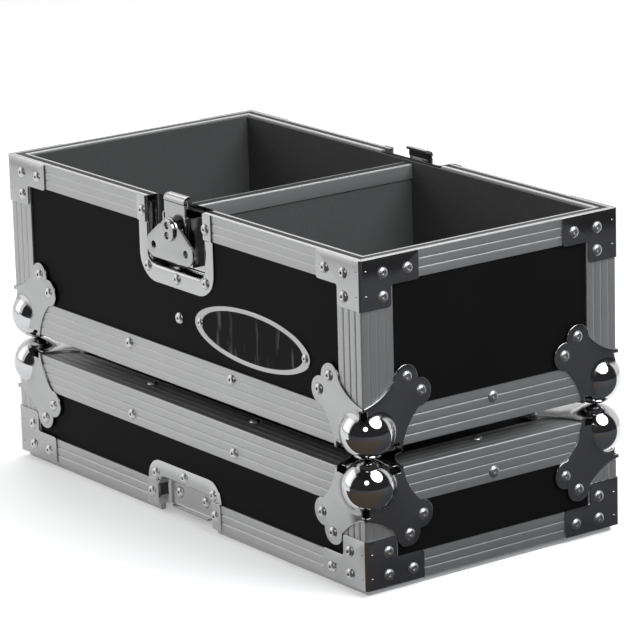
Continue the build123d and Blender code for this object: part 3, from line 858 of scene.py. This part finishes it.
def ballCorners(box, flip):
    # One leg on each of three faces: the closed end, then the end wall and the long wall
    turns = ((alongX, alongY, alongZ), (alongY, alongZ, alongX), (alongZ, alongX, alongY))
    threeFaces = [axes((0, 0, 0), *directions) for directions in turns]
    legs = legMesh(ball)
    repeat(legs, threeFaces)
    side, end = ball["sideInset"], ball["endInset"]
    for face, inset, center in zip(threeFaces, (end, side, side), ((side, side), (side, end), (end, side))):
        ring = fillRing(ball, inset, center)
        move(ring, face)
        addTo(legs, ring)
    for bm, name, finish, sharp in ((legs, "BallLegs", plate, 35), (pressedBall(ball), "Balls", chrome, 60)):
        repeat(bm, inCorners(caseBase, flip))
        piece(bm, f"{box}{name}", box, finish, f"{box}_ball_corners", sharp)


ballCorners("case", unmoved)
ballCorners("lid", flipAbout((lidTop + caseBase) / 2))
print("ball corners made")


# Latch recesses
dish = {
    "half": 52 * mm,
    "mouthHalf": 39 * mm,
    "deep": 11 * mm,
    "thick": 1.2 * mm,
    "edge": 0.5 * mm,
    "edgeShare": 0.3,  # share of the eased edge that its middle row stands in
    "lip": 2.6 * mm,
    "foot": 3.0 * mm,
    "footShare": 0.6,  # share of the foot's inward move that its rounded corners follow
    "bendSteps": 6,
    "rimStep": 1.5 * mm,
    "caseReach": 70 * mm,
    "caseMouth": 55.5 * mm,
    "caseRound": 22 * mm,
    "lidReach": 39.4 * mm,
    "lidMouth": 25.2 * mm,
    "lidRound": 17 * mm,
    "mouthRound": 10 * mm,
    "sideShare": 0.3,  # where each straight side has a point of its own
}


def pocketRow(bm, half, reach, r, height):
    # A U-shaped row of edges: down one side from the rim, round the end and back up
    split = -reach * dish["sideShare"]
    points = [(-half, 0), (-half, split)] + arc((-half + r, -reach + r), r, 180, 270, 10)
    points += arc((half - r, -reach + r), r, 270, 360, 10) + [(half, split), (half, 0)]
    return row(bm, [(x, y, height) for x, y in points], closed=False)[1]


def dishMesh(work, reach, mouth, r):
    # Rim along X at the top, +Z out of the panel
    thick, lip, foot, deep = work["thick"], work["lip"], work["foot"], work["deep"]
    half, mouthHalf, mouthRound = work["half"], work["mouthHalf"], work["mouthRound"]
    edge, steps = work["edge"], work["bendSteps"]
    eased = work["edgeShare"] * edge
    # The flange and its eased edge
    rows = [(half, reach, r, 0.0), (half, reach, r, thick - edge)]
    rows += [(half - eased, reach - eased, r, thick - eased), (half - edge, reach - edge, r - edge, thick)]
    # The wall's upper bend, then its lower one
    quarter = [radians(90 * i / steps) for i in range(steps + 1)]
    for angle in quarter:
        out = lip * (1 - sin(angle))
        rows.append((mouthHalf + out, mouth + out, mouthRound + out, thick - lip * (1 - cos(angle))))
    for angle in quarter:
        inward = foot * (1 - cos(angle))
        rows.append((mouthHalf - inward, mouth - inward, mouthRound - inward * work["footShare"],
                     -deep + foot * (1 - sin(angle))))
    bm = bmesh.new()
    made = [pocketRow(bm, *given) for given in rows]
    for first, second in zip(made, made[1:]):
        bmesh.ops.bridge_loops(bm, edges=first + second)
    # The floor
    last = made[-1]
    ends = [v for edge in (last[0], last[-1]) for v in edge.verts if abs(v.co.y) < close]
    bmesh.ops.contextual_create(bm, geom=last + [bm.edges.new(ends)])
    # The flange steps up over the rim
    face = extrusion["rimFace"]
    for level in (-face, -face - thick):
        cutAcross(bm, (0, level, 0), (0, 1, 0))
    raised = [v for v in bm.verts if v.co.y > -face - close and v.co.z > thick - lip - close]
    shift(bm, (0, 0, work["rimStep"]), raised)
    return bm


def latchDish(side, name, box):
    bm = dishMesh(dish, dish[f"{box}Reach"], dish[f"{box}Mouth"], dish[f"{box}Round"])
    move(bm, sides[side] @ onFront(0, boxes[box]["rim"], up=boxes[box]["up"]))
    piece(bm, f"{side}{name}Dish", box, dishMetal, f"{side}_{name.lower()}_dish", sharp=30)


for side in sides:
    latchDish(side, "Latch", "case")
    latchDish(side, "Strike", "lid")
print("latch recesses made")


# Latch works
works = {
    "bossBelowRim": 20.5 * mm,
    "hookHalf": 14.4 * mm,
    "hookThick": 2.0 * mm,
    "hookEdge": 0.25 * mm,
    "hookFlank": 0.9,  # share of the half width past which its side edges lie
    "squareTurn": 1.2,  # an edge that turns by more radians than this is square
    "hookOut": 1.6 * mm,
    "hookTop": 7 * mm,
    "hookLow": 36.5 * mm,
    "hookCrease": 0.8 * mm,
    "hookStep": 0.45 * mm,
    "hookSlot": 0.8 * mm,
    # How far above the slot the painted crease shade reaches
    "paintedShadeReach": 0.2 * mm,
    "hookBend": 4.0 * mm,
    "hookLip": 3.0 * mm,
    "hookTaper": (0.998, 0.995, 0.99, 0.985, 0.98, 0.975, 0.97),  # how the bend and the lip narrow
    "windowHalf": 10.9 * mm,
    "windowTall": 7.95 * mm,
    "eccentric": 3.5 * mm,
    "handleOut": 5.3 * mm,
    "handleThick": 1.8 * mm,
    "handleEdge": 0.4 * mm,
    "humpRadius": 11.0 * mm,
    "shoulder": (13.4 * mm, 1.6 * mm),
    "shoulderRadius": 1.5 * mm,
    "wingRadius": 10 * mm,
    "wing": (22.5 * mm, -15.8 * mm),
    "wingHole": 3.2 * mm,
    "capRadius": 9.3 * mm,
    "capThick": 2.5 * mm,
    "capEdge": 0.5 * mm,
    "capSteps": 48,
    "capRivet": 4.1 * mm,
    "capHole": 2.9 * mm,
}
bossHeight = caseRim - works["bossBelowRim"]


def hookPiece(side, work):
    # A flat plate with a window for the eccentric, its upper end bent back over the rim
    half, low, step, slot = work["hookHalf"], work["hookLow"], work["hookStep"], work["hookSlot"]
    crease, top, bend = work["hookCrease"], work["hookTop"], work["hookBend"]
    shape = Matrix.Diagonal((2 * half, low + crease, 1, 1))
    shape = Matrix.Translation((0, (crease - low) / 2, work["hookOut"] - step)) @ shape
    bm = bmesh.new()
    bmesh.ops.create_grid(bm, x_segments=1, y_segments=1, size=0.5, matrix=shape)
    # The window
    middle = -work["bossBelowRim"] - work["eccentric"]
    wide, tall = work["windowHalf"], work["windowTall"]
    for across in (wide, -wide):
        cutAcross(bm, (across, 0, 0), alongX)
    for height in (middle + tall, middle - tall):
        cutAcross(bm, (0, height, 0), alongY)
    centers = [(face, face.calc_center_median()) for face in bm.faces]
    window = [face for face, spot in centers if abs(spot.x) < wide and abs(spot.y - middle) < tall]
    bmesh.ops.delete(bm, geom=window, context="FACES")
    # The slot above the crease, the bend and the lip
    steps = [(0, -slot), (slot, 0), (0, slot + step), (top - crease - slot - bend, 0)]
    taper = (1.0,) * len(steps) + work["hookTaper"]
    steps += bendSteps(bend, 6) + [(0, -work["hookLip"])]
    swept(bm, edgesAt(bm, 1, crease), steps, taper)
    thicken(bm, work["hookThick"])
    flank = half * work["hookFlank"]
    ends = [edge for edge in bm.edges if edge.calc_face_angle(0) > work["squareTurn"]
            and all(abs(v.co.x) > flank for v in edge.verts)]
    roundEdges(bm, ends, work["hookEdge"])
    # The slot's faces get the near-black finish: painted shade in the crease
    for face in bm.faces:
        if crease - close < face.calc_center_median().y < crease + slot + work["paintedShadeReach"]:
            face.material_index = 1
    move(bm, sides[side] @ onFront(0, caseRim))
    made = piece(bm, f"{side}Hook", f"{side}_latch_draw", plate, f"{side}_latch_hook",
                 sharp=30)
    made.data.materials.append(paintedCreaseShade)


def handlePiece(side, work):
    # Two wings with a hole each, a shoulder above each wing and a hump round the boss
    hump, wing, r = work["humpRadius"], work["wing"], work["wingRadius"]
    shoulder, small = work["shoulder"], work["shoulderRadius"]
    away = (wing[0] - shoulder[0], wing[1] - shoulder[1])
    flank = degrees(atan2(away[1], away[0]) + acos((small - r) / sqrt(away[0] ** 2 + away[1] ** 2)))
    rise = degrees(asin((shoulder[1] + small) / hump))
    right = arc(wing, r, -90, flank, 14) + arc(shoulder, small, flank, 90, 4)
    points = right + arc((0, 0), hump, rise, 180 - rise, 18) + [(-x, y) for x, y in reversed(right)]
    holes = [((sign * wing[0], wing[1]), work["wingHole"]) for sign in (1, -1)]
    bm = holedPlate(points, holes, work["handleThick"], work["handleEdge"])
    move(bm, sides[side] @ onFront(0, bossHeight, work["handleOut"]))
    piece(bm, f"{side}Handle", f"{side}_latch_knob", plate, f"{side}_latch_handle", sharp=30)


def capPiece(side, work):
    # The round cap over the handle, with a hole round each of its two rivets
    steps = work["capSteps"]
    circle = arc((0, 0), work["capRadius"], 0, 360 * (steps - 1) / steps, steps - 1)
    holes = [((0, sign * work["capRivet"]), work["capHole"]) for sign in (1, -1)]
    bm = holedPlate(circle, holes, work["capThick"], work["capEdge"])
    move(bm, sides[side] @ onFront(0, bossHeight, work["handleOut"] + work["handleThick"]))
    piece(bm, f"{side}Cap", f"{side}_latch_knob", plate, f"{side}_latch_cap", sharp=40)


strike = {
    "half": 26 * mm,
    "thick": 1.5 * mm,
    "off": 2.5 * mm,
    "low": 1.0 * mm,
    "high": 23 * mm,
    "lipOut": 7.7 * mm,
    "lipTaper": 0.97,
    "bend": 2.4 * mm,
    "round": 5 * mm,
    "rivet": (18.4 * mm, 14.3 * mm),
}


def strikePiece(side, work):
    # A plate that stands off the recess floor, its lower edge bent outwards and its sides bent back
    half, r, bend, off = work["half"], work["round"], work["bend"], work["off"]
    straight = work["high"] - work["low"] - bend
    points = [(-half, 0), (half, 0)] + arc((half - r, straight - r), r, 0, 90, 6)
    points += arc((r - half, straight - r), r, 90, 180, 6)
    bm = bmesh.new()
    outline(bm, points)
    flanks = edgesAt(bm, 0, half) + edgesAt(bm, 0, -half)
    turn = [(-dy, -dz) for dy, dz in bendSteps(bend, 5)]
    lip = [(0, work["lipOut"] - off - bend)]
    swept(bm, edgesAt(bm, 1, 0), turn + lip, (1,) * len(turn) + (work["lipTaper"],))
    swept(bm, flanks, [(0, -off)])
    thicken(bm, -work["thick"])
    move(bm, sides[side] @ onFront(0, lidRim + work["low"] + bend, off - dish["deep"]))
    piece(bm, f"{side}StrikePlate", "lid", plate, f"{side}_strike_plate")


for side in sides:
    hookPiece(side, works)
    handlePiece(side, works)
    capPiece(side, works)
    strikePiece(side, strike)
print("latch works made")


# Partition trim
trim = {
    "wall": 1.4 * mm,
    "corner": 1.0 * mm,
    "padWide": 8.6 * mm,
    "padDeep": 1.2 * mm,
    "padLow": 0.1 * mm,
    "padColor": (0.035, 0.035, 0.035),
}


def trimPieces(work):
    # A folded metal channel over the partition, with a foam pad let into its upper face
    low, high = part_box("partition_trim")
    wall, corner, floor = work["wall"], work["corner"], high.z - work["padDeep"]
    half, pad = high.x, work["padWide"] / 2
    points = [(-half, low.z)] + arc((corner - half, high.z - corner), corner, 180, 90, 4)
    points += [(-pad, high.z), (-pad, floor), (pad, floor), (pad, high.z)]
    points += arc((half - corner, high.z - corner), corner, 90, 0, 4) + [(half, low.z)]
    points += [(half - wall, low.z), (half - wall, high.z - wall)]
    points += [(wall - half, high.z - wall), (wall - half, low.z)]
    top = high.z - work["padLow"]
    padded = [(-pad, floor), (pad, floor)] + arc((pad - corner, top - corner / 2), corner, 30, 90, 3)
    padded += arc((corner - pad, top - corner / 2), corner, 90, 150, 3)
    padded = [(x, min(z, top)) for x, z in padded]
    padFoam = foam("trimPad", work["padColor"])
    for name, section, finish, slot in (("partitionTrim", points, drawnY, "trim"),
                                        ("partitionPad", padded, padFoam, "lining")):
        bm = bmesh.new()
        bar(bm, section, high.y - low.y)
        move(bm, axes((0, high.y, 0), alongX, alongZ, -alongY))
        piece(bm, name, "case", finish, "partition_trim")


trimPieces(trim)
print("partition trim made")


# Carrying handle in the lid's top
handle = {
    "earGap": 3.4 * mm,
    "barWide": 8 * mm,
    "barThick": 4 * mm,
    "barBend": 6 * mm,
    "barEdge": 1.4 * mm,
    "gripRings": 9,
    "gripGroove": 1.0 * mm,
    # How far along each ring, and how far into its groove
    "gripWave": ((0.30, 0), (0.50, 0), (0.60, 1), (0.80, 1), (0.90, 0), (1.0, 0)),
    "gripEase": 2.6 * mm,
    "pin": 3.0 * mm,
    "pinLong": 4.5 * mm,
    "trayCorner": 9 * mm,
    "trayFlange": 12 * mm,
    "trayThick": 1.2 * mm,
    "trayEdge": 0.3 * mm,
    "trayRound": 2.5 * mm,
    "wellCorner": 5 * mm,
    "trayRivets": ((68 * mm, 42 * mm), (0, 42 * mm)),
}


def bailPiece(work):
    # A square bar bent into a U, its edges eased, with a pin at each end
    low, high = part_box("bail")
    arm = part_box("bail_ears")
    half = arm[1].x - work["earGap"]
    wide, thick, r, pin = work["barWide"], work["barThick"], work["barBend"], work["pinLong"]
    middle = sum(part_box("grip"), Vector()).z / 2
    outside = [(-half, high.y), (-half, low.y + r)] + arc((r - half, low.y + r), r, 180, 270, 5)[1:]
    outside += arc((half - r, low.y + r), r, 270, 360, 5) + [(half, high.y)]
    inside = [(half - wide, high.y), (half - wide, low.y + wide)]
    inside += [(wide - half, low.y + wide), (wide - half, high.y)]
    bm = bmesh.new()
    bar(bm, outside + inside, thick)
    shift(bm, (0, 0, middle - thick / 2))
    level = [edge for edge in bm.edges if abs(edge.verts[0].co.z - edge.verts[1].co.z) < close]
    roundEdges(bm, level, work["barEdge"], 3)
    pinY = (arm[0].y + arm[1].y) / 2
    for sign in (1, -1):
        place = Matrix.Translation((sign * (half + pin / 2), pinY, middle)) @ Matrix.Rotation(pi / 2, 4, "Y")
        bmesh.ops.create_cone(bm, cap_ends=True, segments=24, radius1=work["pin"], radius2=work["pin"],
                              depth=pin, matrix=place)
    piece(bm, "bailBar", "carry_handle", plate, "bail")


def gripPiece(work):
    # A moulded rubber sleeve with rings round it
    low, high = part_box("grip")
    middle, halfSize = (low + high) / 2, (high - low) / 2
    ease, rings = work["gripEase"], work["gripRings"]
    a, b = halfSize.y - ease, halfSize.z - ease
    section = []
    for start, center in ((0, (a, b)), (90, (-a, b)), (180, (-a, -b)), (270, (a, -b))):
        section += arc(center, ease, start, start + 90, 4)
    bm = bmesh.new()
    edges = start = row(bm, [(low.x, middle.y + out, middle.z + rise) for out, rise in section])[1]
    band = 2 * halfSize.x / rings
    for i in range(rings):
        before, size = 0.0, 1.0
        for share, sunk in work["gripWave"]:
            if i == rings - 1 and sunk:
                continue
            along, scale = band * share, 1 - sunk * work["gripGroove"] / halfSize.z
            moved, edges = drawOut(bm, edges, (along - before, 0, 0))
            center = Matrix.Translation((-moved[0].co.x, -middle.y, -middle.z))
            bmesh.ops.scale(bm, vec=(1, scale / size, scale / size), verts=moved, space=center)
            before, size = along, scale
    bmesh.ops.contextual_create(bm, geom=start)
    bmesh.ops.contextual_create(bm, geom=edges)
    piece(bm, "gripSleeve", "carry_handle", rubber(gripRubber), "grip", sharp=50)


def trayPiece(work):
    # A pressed tray with a flange, its floor and walls rounded into each other
    low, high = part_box("grip_tray")
    flange, thick, r, edge = work["trayFlange"], work["trayThick"], work["trayCorner"], work["trayEdge"]
    bend, small = work["trayRound"], work["wellCorner"]
    floor = low.z + thick

    def ring(inset, height, radius):
        points = []
        for corner, (sx, sy) in enumerate(((1, 1), (-1, 1), (-1, -1), (1, -1))):
            center = (sx * (high.x - inset - radius), sy * (high.y - inset - radius))
            points += arc(center, radius, 90 * corner, 90 * corner + 90, 6)
        return [(x, y, height) for x, y in points]

    quarter = [radians(angle) for angle in (0, 30, 60, 90)]
    rows = [ring(0, high.z - edge, r), ring(edge, high.z, r)]
    rows += [ring(flange - bend + bend * sin(a), high.z - bend * (1 - cos(a)), small) for a in quarter]
    rows += [ring(flange + bend * (1 - cos(a)), floor + bend * (1 - sin(a)), small) for a in quarter]
    bm = bmesh.new()
    loop, edges = row(bm, ring(0, high.z - thick, r))
    for spots in rows:
        grown = set(bmesh.ops.extrude_edge_only(bm, edges=edges)["geom"])
        loop = [next(e.other_vert(v) for e in v.link_edges if e.other_vert(v) in grown) for v in loop]
        for vert, spot in zip(loop, spots):
            vert.co = spot
        edges = edgesOf(grown)
    bm.faces.new(loop)
    trayMetal = pressed("traySteel", steelColor, 0.38)
    piece(bm, "gripTray", "lid", trayMetal, "grip_tray", sharp=30)


bailPiece(handle)
gripPiece(handle)
trayPiece(handle)
print("carrying handle made")


# Badge
badge = {
    "long": 155 * mm,
    "tall": 46 * mm,
    "thick": 1.0 * mm,
    "edge": 0.4 * mm,
    "ringSide": 3.4 * mm,
    "ringEnd": 9.0 * mm,
    "step": 0.35 * mm,
    "rivetOut": 71 * mm,
    "rivetSunk": 0.4 * mm,
}
badgeMiddle = sum(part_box("badge_plate"), Vector()) / 2


def badgePiece(work):
    # A pressed oval with a raised bright ring and a dark field, left bare
    a, b, high, edge, step = work["long"] / 2, work["tall"] / 2, work["thick"], work["edge"], work["step"]
    inA, inB = a - work["ringEnd"], b - work["ringSide"]
    rows = ((a, b, 0), (a, b, high - edge), (a - edge, b - edge, high), (inA, inB, high),
            (inA - step, inB - step, high - step))
    bm = bmesh.new()
    loops = []
    for wide, tall, height in rows:
        shape = Matrix.Translation((0, 0, height)) @ Matrix.Diagonal((wide, tall, 1, 1))
        made = bmesh.ops.create_circle(bm, cap_ends=False, segments=96, radius=1.0, matrix=shape)["verts"]
        loops.append([e for e in bm.edges if e.verts[0] in made and e.verts[1] in made])
    for first, second in zip(loops, loops[1:]):
        bmesh.ops.bridge_loops(bm, edges=first + second)
    field = bmesh.ops.contextual_create(bm, geom=loops[-1])["faces"]
    bmesh.ops.contextual_create(bm, geom=loops[0])
    for face in field:
        face.material_index = 1
    move(bm, onFront(badgeMiddle.x, badgeMiddle.z))
    made = piece(bm, "badge", "case", plate, "badge_plate", sharp=30)
    made.data.materials.append(badgeField(printedField))


badgePiece(badge)
print("badge made")


# Rivets
rivet = {
    "radius": 4.9 * mm,
    "high": 2.1 * mm,
    "hole": 1.25 * mm,
    "holeDeep": 1.7 * mm,
    "steps": 20,
    "holeFloor": 0.9,  # share of the hole's radius
    "mouth": ((1.0, 0.9), (1.35, 0.97)),  # shares of the hole's radius and of the height
    "dome": ((0.42, 1.0), (0.66, 0.86), (0.84, 0.55), (0.95, 0.25), (1.0, 0.0)),  # of radius and height
    "caseSpots": ((21.4 * mm, 12.5 * mm), (45 * mm, 12.5 * mm), (21.4 * mm, 31 * mm)),
    "lidSpots": ((21.4 * mm, 9.5 * mm), (45 * mm, 9.5 * mm), (21.4 * mm, 28 * mm)),
    "legSpots": ((41 * mm, 54.5 * mm), (54.5 * mm, 41 * mm)),
    # Across from the middle, away from the rim and out of the flange
    "caseDishSpots": ((44.5 * mm, 12.5 * mm, 1.5 * mm), (40.8 * mm, 58 * mm, 0), (0, 62 * mm, 0)),
    "lidDishSpots": ((45 * mm, 11.2 * mm, 1.5 * mm), (41 * mm, 27.5 * mm, 0), (0, 32.2 * mm, 0)),
    "screwDown": 94.5 * mm,
    "edgeIn": 22 * mm,
    "edgeAlong": 72.5 * mm,
    "badgeScale": 0.86,
    "trayScale": 0.8,
}

capRivet = {**rivet, "radius": 2.2 * mm, "high": 1.6 * mm, "hole": 0.7 * mm, "holeDeep": 0.6 * mm}


def rivetMesh(work):
    # A domed pop rivet with the hole that its stem leaves
    radius, high, hole, floor = work["radius"], work["high"], work["hole"], work["high"] - work["holeDeep"]
    section = [(0, floor), (hole * work["holeFloor"], floor)]
    section += [(hole * out, high * rise) for out, rise in work["mouth"]]
    section += [(radius * out, high * rise) for out, rise in work["dome"]]
    bm = bmesh.new()
    spun(bm, section, work["steps"], closed=False)
    bmesh.ops.holes_fill(bm, edges=openEdges(bm), sides=0)
    bmesh.ops.recalc_face_normals(bm, faces=bm.faces)
    return asMesh(bm, "rivetShape")


def fasten(name, body, shape, places):
    # Joins one rivet for each place into a piece
    bm = bmesh.new()
    for place in places:
        before = set(bm.verts)
        bm.from_mesh(shape)
        move(bm, place, [v for v in bm.verts if v not in before])
    piece(bm, name, body, rivetMetal, sharp=50)


def bothWays(across):
    # Once on the middle line, and once on each side of it elsewhere
    return (1, -1) if across else (1,)


def cornerRivets(box):
    # Rivets of one corner's brace and ball corner
    level, rim, up = boxes[box]["closed"], boxes[box]["rim"], boxes[box]["up"]
    braceThick, legThick = brace["thick"], ball["thick"]
    found = []
    for across, down in rivet[f"{box}Spots"]:
        height = rim - up * down
        found.append(facing((outerX + braceThick - across, -outerY - braceThick, height), -alongY))
        found.append(facing((outerX + braceThick, -outerY - braceThick + across, height), alongX))
    for across, along in rivet["legSpots"]:
        height = level + up * along
        found.append(facing((outerX - across, -outerY - legThick, height), -alongY))
        found.append(facing((outerX + legThick, -outerY + across, height), alongX))
        found.append(facing((outerX - across, -outerY + along, level - up * legThick), -up * alongZ))
    return found


def edgeRivets(box):
    # Rivets through the angles along the closed end, one quarter of them
    level, up = boxes[box]["closed"], boxes[box]["up"]
    along, inward = rivet["edgeAlong"], rivet["edgeIn"]
    return [facing((along, -outerY, level + up * inward), -alongY),
            facing((along, -outerY + inward, level), -up * alongZ)]


def endRivets(box):
    # Rivets in the middle of one end, through the angle along the closed end
    level, up, inward = boxes[box]["closed"], boxes[box]["up"], rivet["edgeIn"]
    return [facing((outerX, 0, level + up * inward), alongX),
            facing((outerX - inward, 0, level), -up * alongZ)]


def dishRivets(box):
    # Rivets round the front recess, with the screw below the case's and the strike plate's in the lid's
    rim, up = boxes[box]["rim"], boxes[box]["up"]
    spots = [(sign * across, -dish["thick"] - lift, rim - up * away)
             for across, away, lift in rivet[f"{box}DishSpots"] for sign in bothWays(across)]
    if box == "case":
        spots.append((0, 0, rim - rivet["screwDown"]))
    else:
        across, high = strike["rivet"]
        out = dish["deep"] - strike["off"] - strike["thick"]
        spots += [(sign * across, out, rim + high) for sign in bothWays(across)]
    return [facing((x, y - panelY, z), -alongY) for x, y, z in spots]


shape, smallShape = rivetMesh(rivet), rivetMesh(capRivet)
for box in boxes:
    places = [turn @ spot for turn in fourCorners for spot in cornerRivets(box)]
    places += [turn @ spot for turn in fourCorners for spot in edgeRivets(box)]
    places += [turn @ spot for turn in (unmoved, mirrorX) for spot in endRivets(box)]
    places += [turn @ spot for turn in sides.values() for spot in dishRivets(box)]
    fasten(f"{box}Rivets", box, shape, places)
badgeOut = -panelY - badge["thick"] + badge["rivetSunk"]
spots = [(badgeMiddle.x + sign * badge["rivetOut"], badgeOut, badgeMiddle.z) for sign in (1, -1)]
smaller = Matrix.Scale(rivet["badgeScale"], 4)
fasten("badgeRivets", "case", shape, [facing(spot, -alongY) @ smaller for spot in spots])
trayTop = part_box("grip_tray")[1].z
spots = [(x * across, y * away, trayTop) for across, away in handle["trayRivets"]
         for y in (1, -1) for x in bothWays(across)]
smaller = Matrix.Scale(rivet["trayScale"], 4)
fasten("trayRivets", "lid", shape, [facing(spot, alongZ) @ smaller for spot in spots])
capTop = works["handleOut"] + works["handleThick"]
for side, turn in sides.items():
    places = [turn @ onFront(0, bossHeight + sign * works["capRivet"], capTop) for sign in (1, -1)]
    fasten(f"{side}CapRivets", f"{side}_latch_knob", smallShape, places)
print("rivets made")


# Frame nodes that keep their shape
walls = ("front", "back", "left", "right")
dress(black, *[f"{box}_{side}_panel" for box in boxes for side in walls])
dress(black, "case_bottom_panel", "lid_top_panel")
dress(grey, "case_lining", "lid_lining", "partition")
dress(dishMetal, "front_latch_base", "back_latch_base")
dress(plate, "front_latch_spindle", "back_latch_spindle", "bail_ears")
print("other nodes finished")


# Stage
stage = {
    "floor": (0.90, 0.90, 0.90),
    "floorGlow": 0.32,
    "floorSize": 30.0,
    "nearCorner": (0.246, -0.126),
    "dark": (-30, 160),  # azimuths between which the room is dark, as seen from the near corner
    "table": (-50, 121),  # azimuths of the brown part of the table, as seen from the near corner
    "tableReach": 0.36,
    "tableHeight": 2 * mm,
    "tableColor": (0.094, 0.076, 0.057),
    "roomReach": 22.0,
    "roomHeight": 1 * mm,
    "roomColor": (0.08, 0.08, 0.088),
    "skyToward": (-0.906, 0.423, 0.0),  # where the room is bright
    "skyTurn": (-0.02, 0.18),
    "skyBright": 1.0,
    "skyDark": 0.035,
    "skyRise": (0.5, 0.8),
    "skyTop": 0.55,
    "lampTarget": (0.0, 0.0, 0.15),
}

lamps = {
    "keyLamp": {"place": (1.30, 0.30, 1.39), "size": 1.5, "power": 33.0, "shape": "DISK",
                "color": (0.95, 0.98, 1.0)},
    "cameraLamp": {"place": (1.95, -1.75, 1.45), "size": 0.9, "power": 8.0, "shape": "DISK"},
    "backLamp": {"place": (-1.4, 0.9, 2.1), "size": 1.8, "power": 22.0, "shape": "SQUARE"},
    "leftLamp": {"place": (-1.6, -1.8, 1.2), "size": 2.2, "power": 13.0, "shape": "SQUARE"},
}


def makeFloor(work):
    # White to the camera and in the metal, and still darker where the object shades it
    bm = bmesh.new()
    bmesh.ops.create_grid(bm, x_segments=1, y_segments=1, size=work["floorSize"] / 2)
    mesh = asMesh(bm, "floor")
    finish = Finish("floor", work["floor"], 0.0, 0.9, **{"Specular IOR Level": 0.0, "Emission Strength": 1.0})
    path = finish.node("ShaderNodeLightPath", out="Is Camera Ray")
    seen = path
    for ray in ("Is Glossy Ray", "Is Transmission Ray"):
        seen = seen + Wire(finish, path.socket.node.outputs[ray])
    finish.feed(**{"Emission Color": finish.blend(seen * work["floorGlow"], (0, 0, 0), (1, 1, 1))})
    mesh.materials.append(finish.material)
    addObject("floor", mesh)


def makeCard(name, points, height, color):
    # A card on the floor that only shiny surfaces see
    bm = bmesh.new()
    outline(bm, points, height)
    bmesh.ops.recalc_face_normals(bm, faces=bm.faces)
    mesh = asMesh(bm, name)
    mesh.materials.append(Finish(name, color, 0.0, 1.0, **{"Specular IOR Level": 0.0}).material)
    card = addObject(name, mesh)
    card.visible_camera = False
    card.visible_diffuse = False
    card.visible_shadow = False


def makeCards(work):
    # The dark room on the camera's side, and over it a piece of brown table top near the object
    x, y = work["nearCorner"]
    first, last = work["dark"]
    room = arc((x, y), work["roomReach"], first - 90, last - 90, 24)
    makeCard("roomCard", room + [(x, -y), (x, y)], work["roomHeight"], work["roomColor"])
    first, last = work["table"]
    table = [(x, y)] + arc((x, y), work["tableReach"], first - 90, last - 90, 16)
    makeCard("tableCard", table, work["tableHeight"], work["tableColor"])


def makeLamp(name, place, size, power, shape, color=(1, 1, 1)):
    data = bpy.data.lights.new(name, "AREA")
    data.shape = shape
    data.size = size
    data.energy = power
    data.color = color
    lamp = addObject(name, data)
    lamp.location = place
    lamp.rotation_euler = (Vector(stage["lampTarget"]) - Vector(place)).to_track_quat("-Z", "Y").to_euler()


def makeSky(work):
    # Bright behind the object and to its left, dark on the camera's side and dimmer overhead
    world = bpy.data.worlds.new("studio")
    bpy.context.scene.world = world
    world.use_nodes = True
    sky = Graph(world.node_tree)
    toward = sky.node("ShaderNodeTexCoord", out="Generated")
    left = sky.node("ShaderNodeVectorMath", {"operation": "DOT_PRODUCT"}, toward, work["skyToward"],
                    out="Value")
    height = sky.node("ShaderNodeSeparateXYZ", None, toward, out="Z")
    smooth = {"interpolation_type": "SMOOTHSTEP"}
    side = sky.node("ShaderNodeMapRange", smooth, left, *work["skyTurn"], work["skyDark"], work["skyBright"])
    over = sky.node("ShaderNodeMapRange", smooth, height, *work["skyRise"], 1.0, work["skyTop"])
    background = sky.tree.nodes["Background"]
    sky.plug(background.inputs["Strength"], side * over)
    sky.plug(background.inputs["Color"], (1, 1, 1, 1))


makeFloor(stage)
makeSky(stage)
makeCards(stage)
for name, lamp in lamps.items():
    makeLamp(name, **lamp)
bpy.context.scene.view_settings.view_transform = "Standard"
print("stage made")
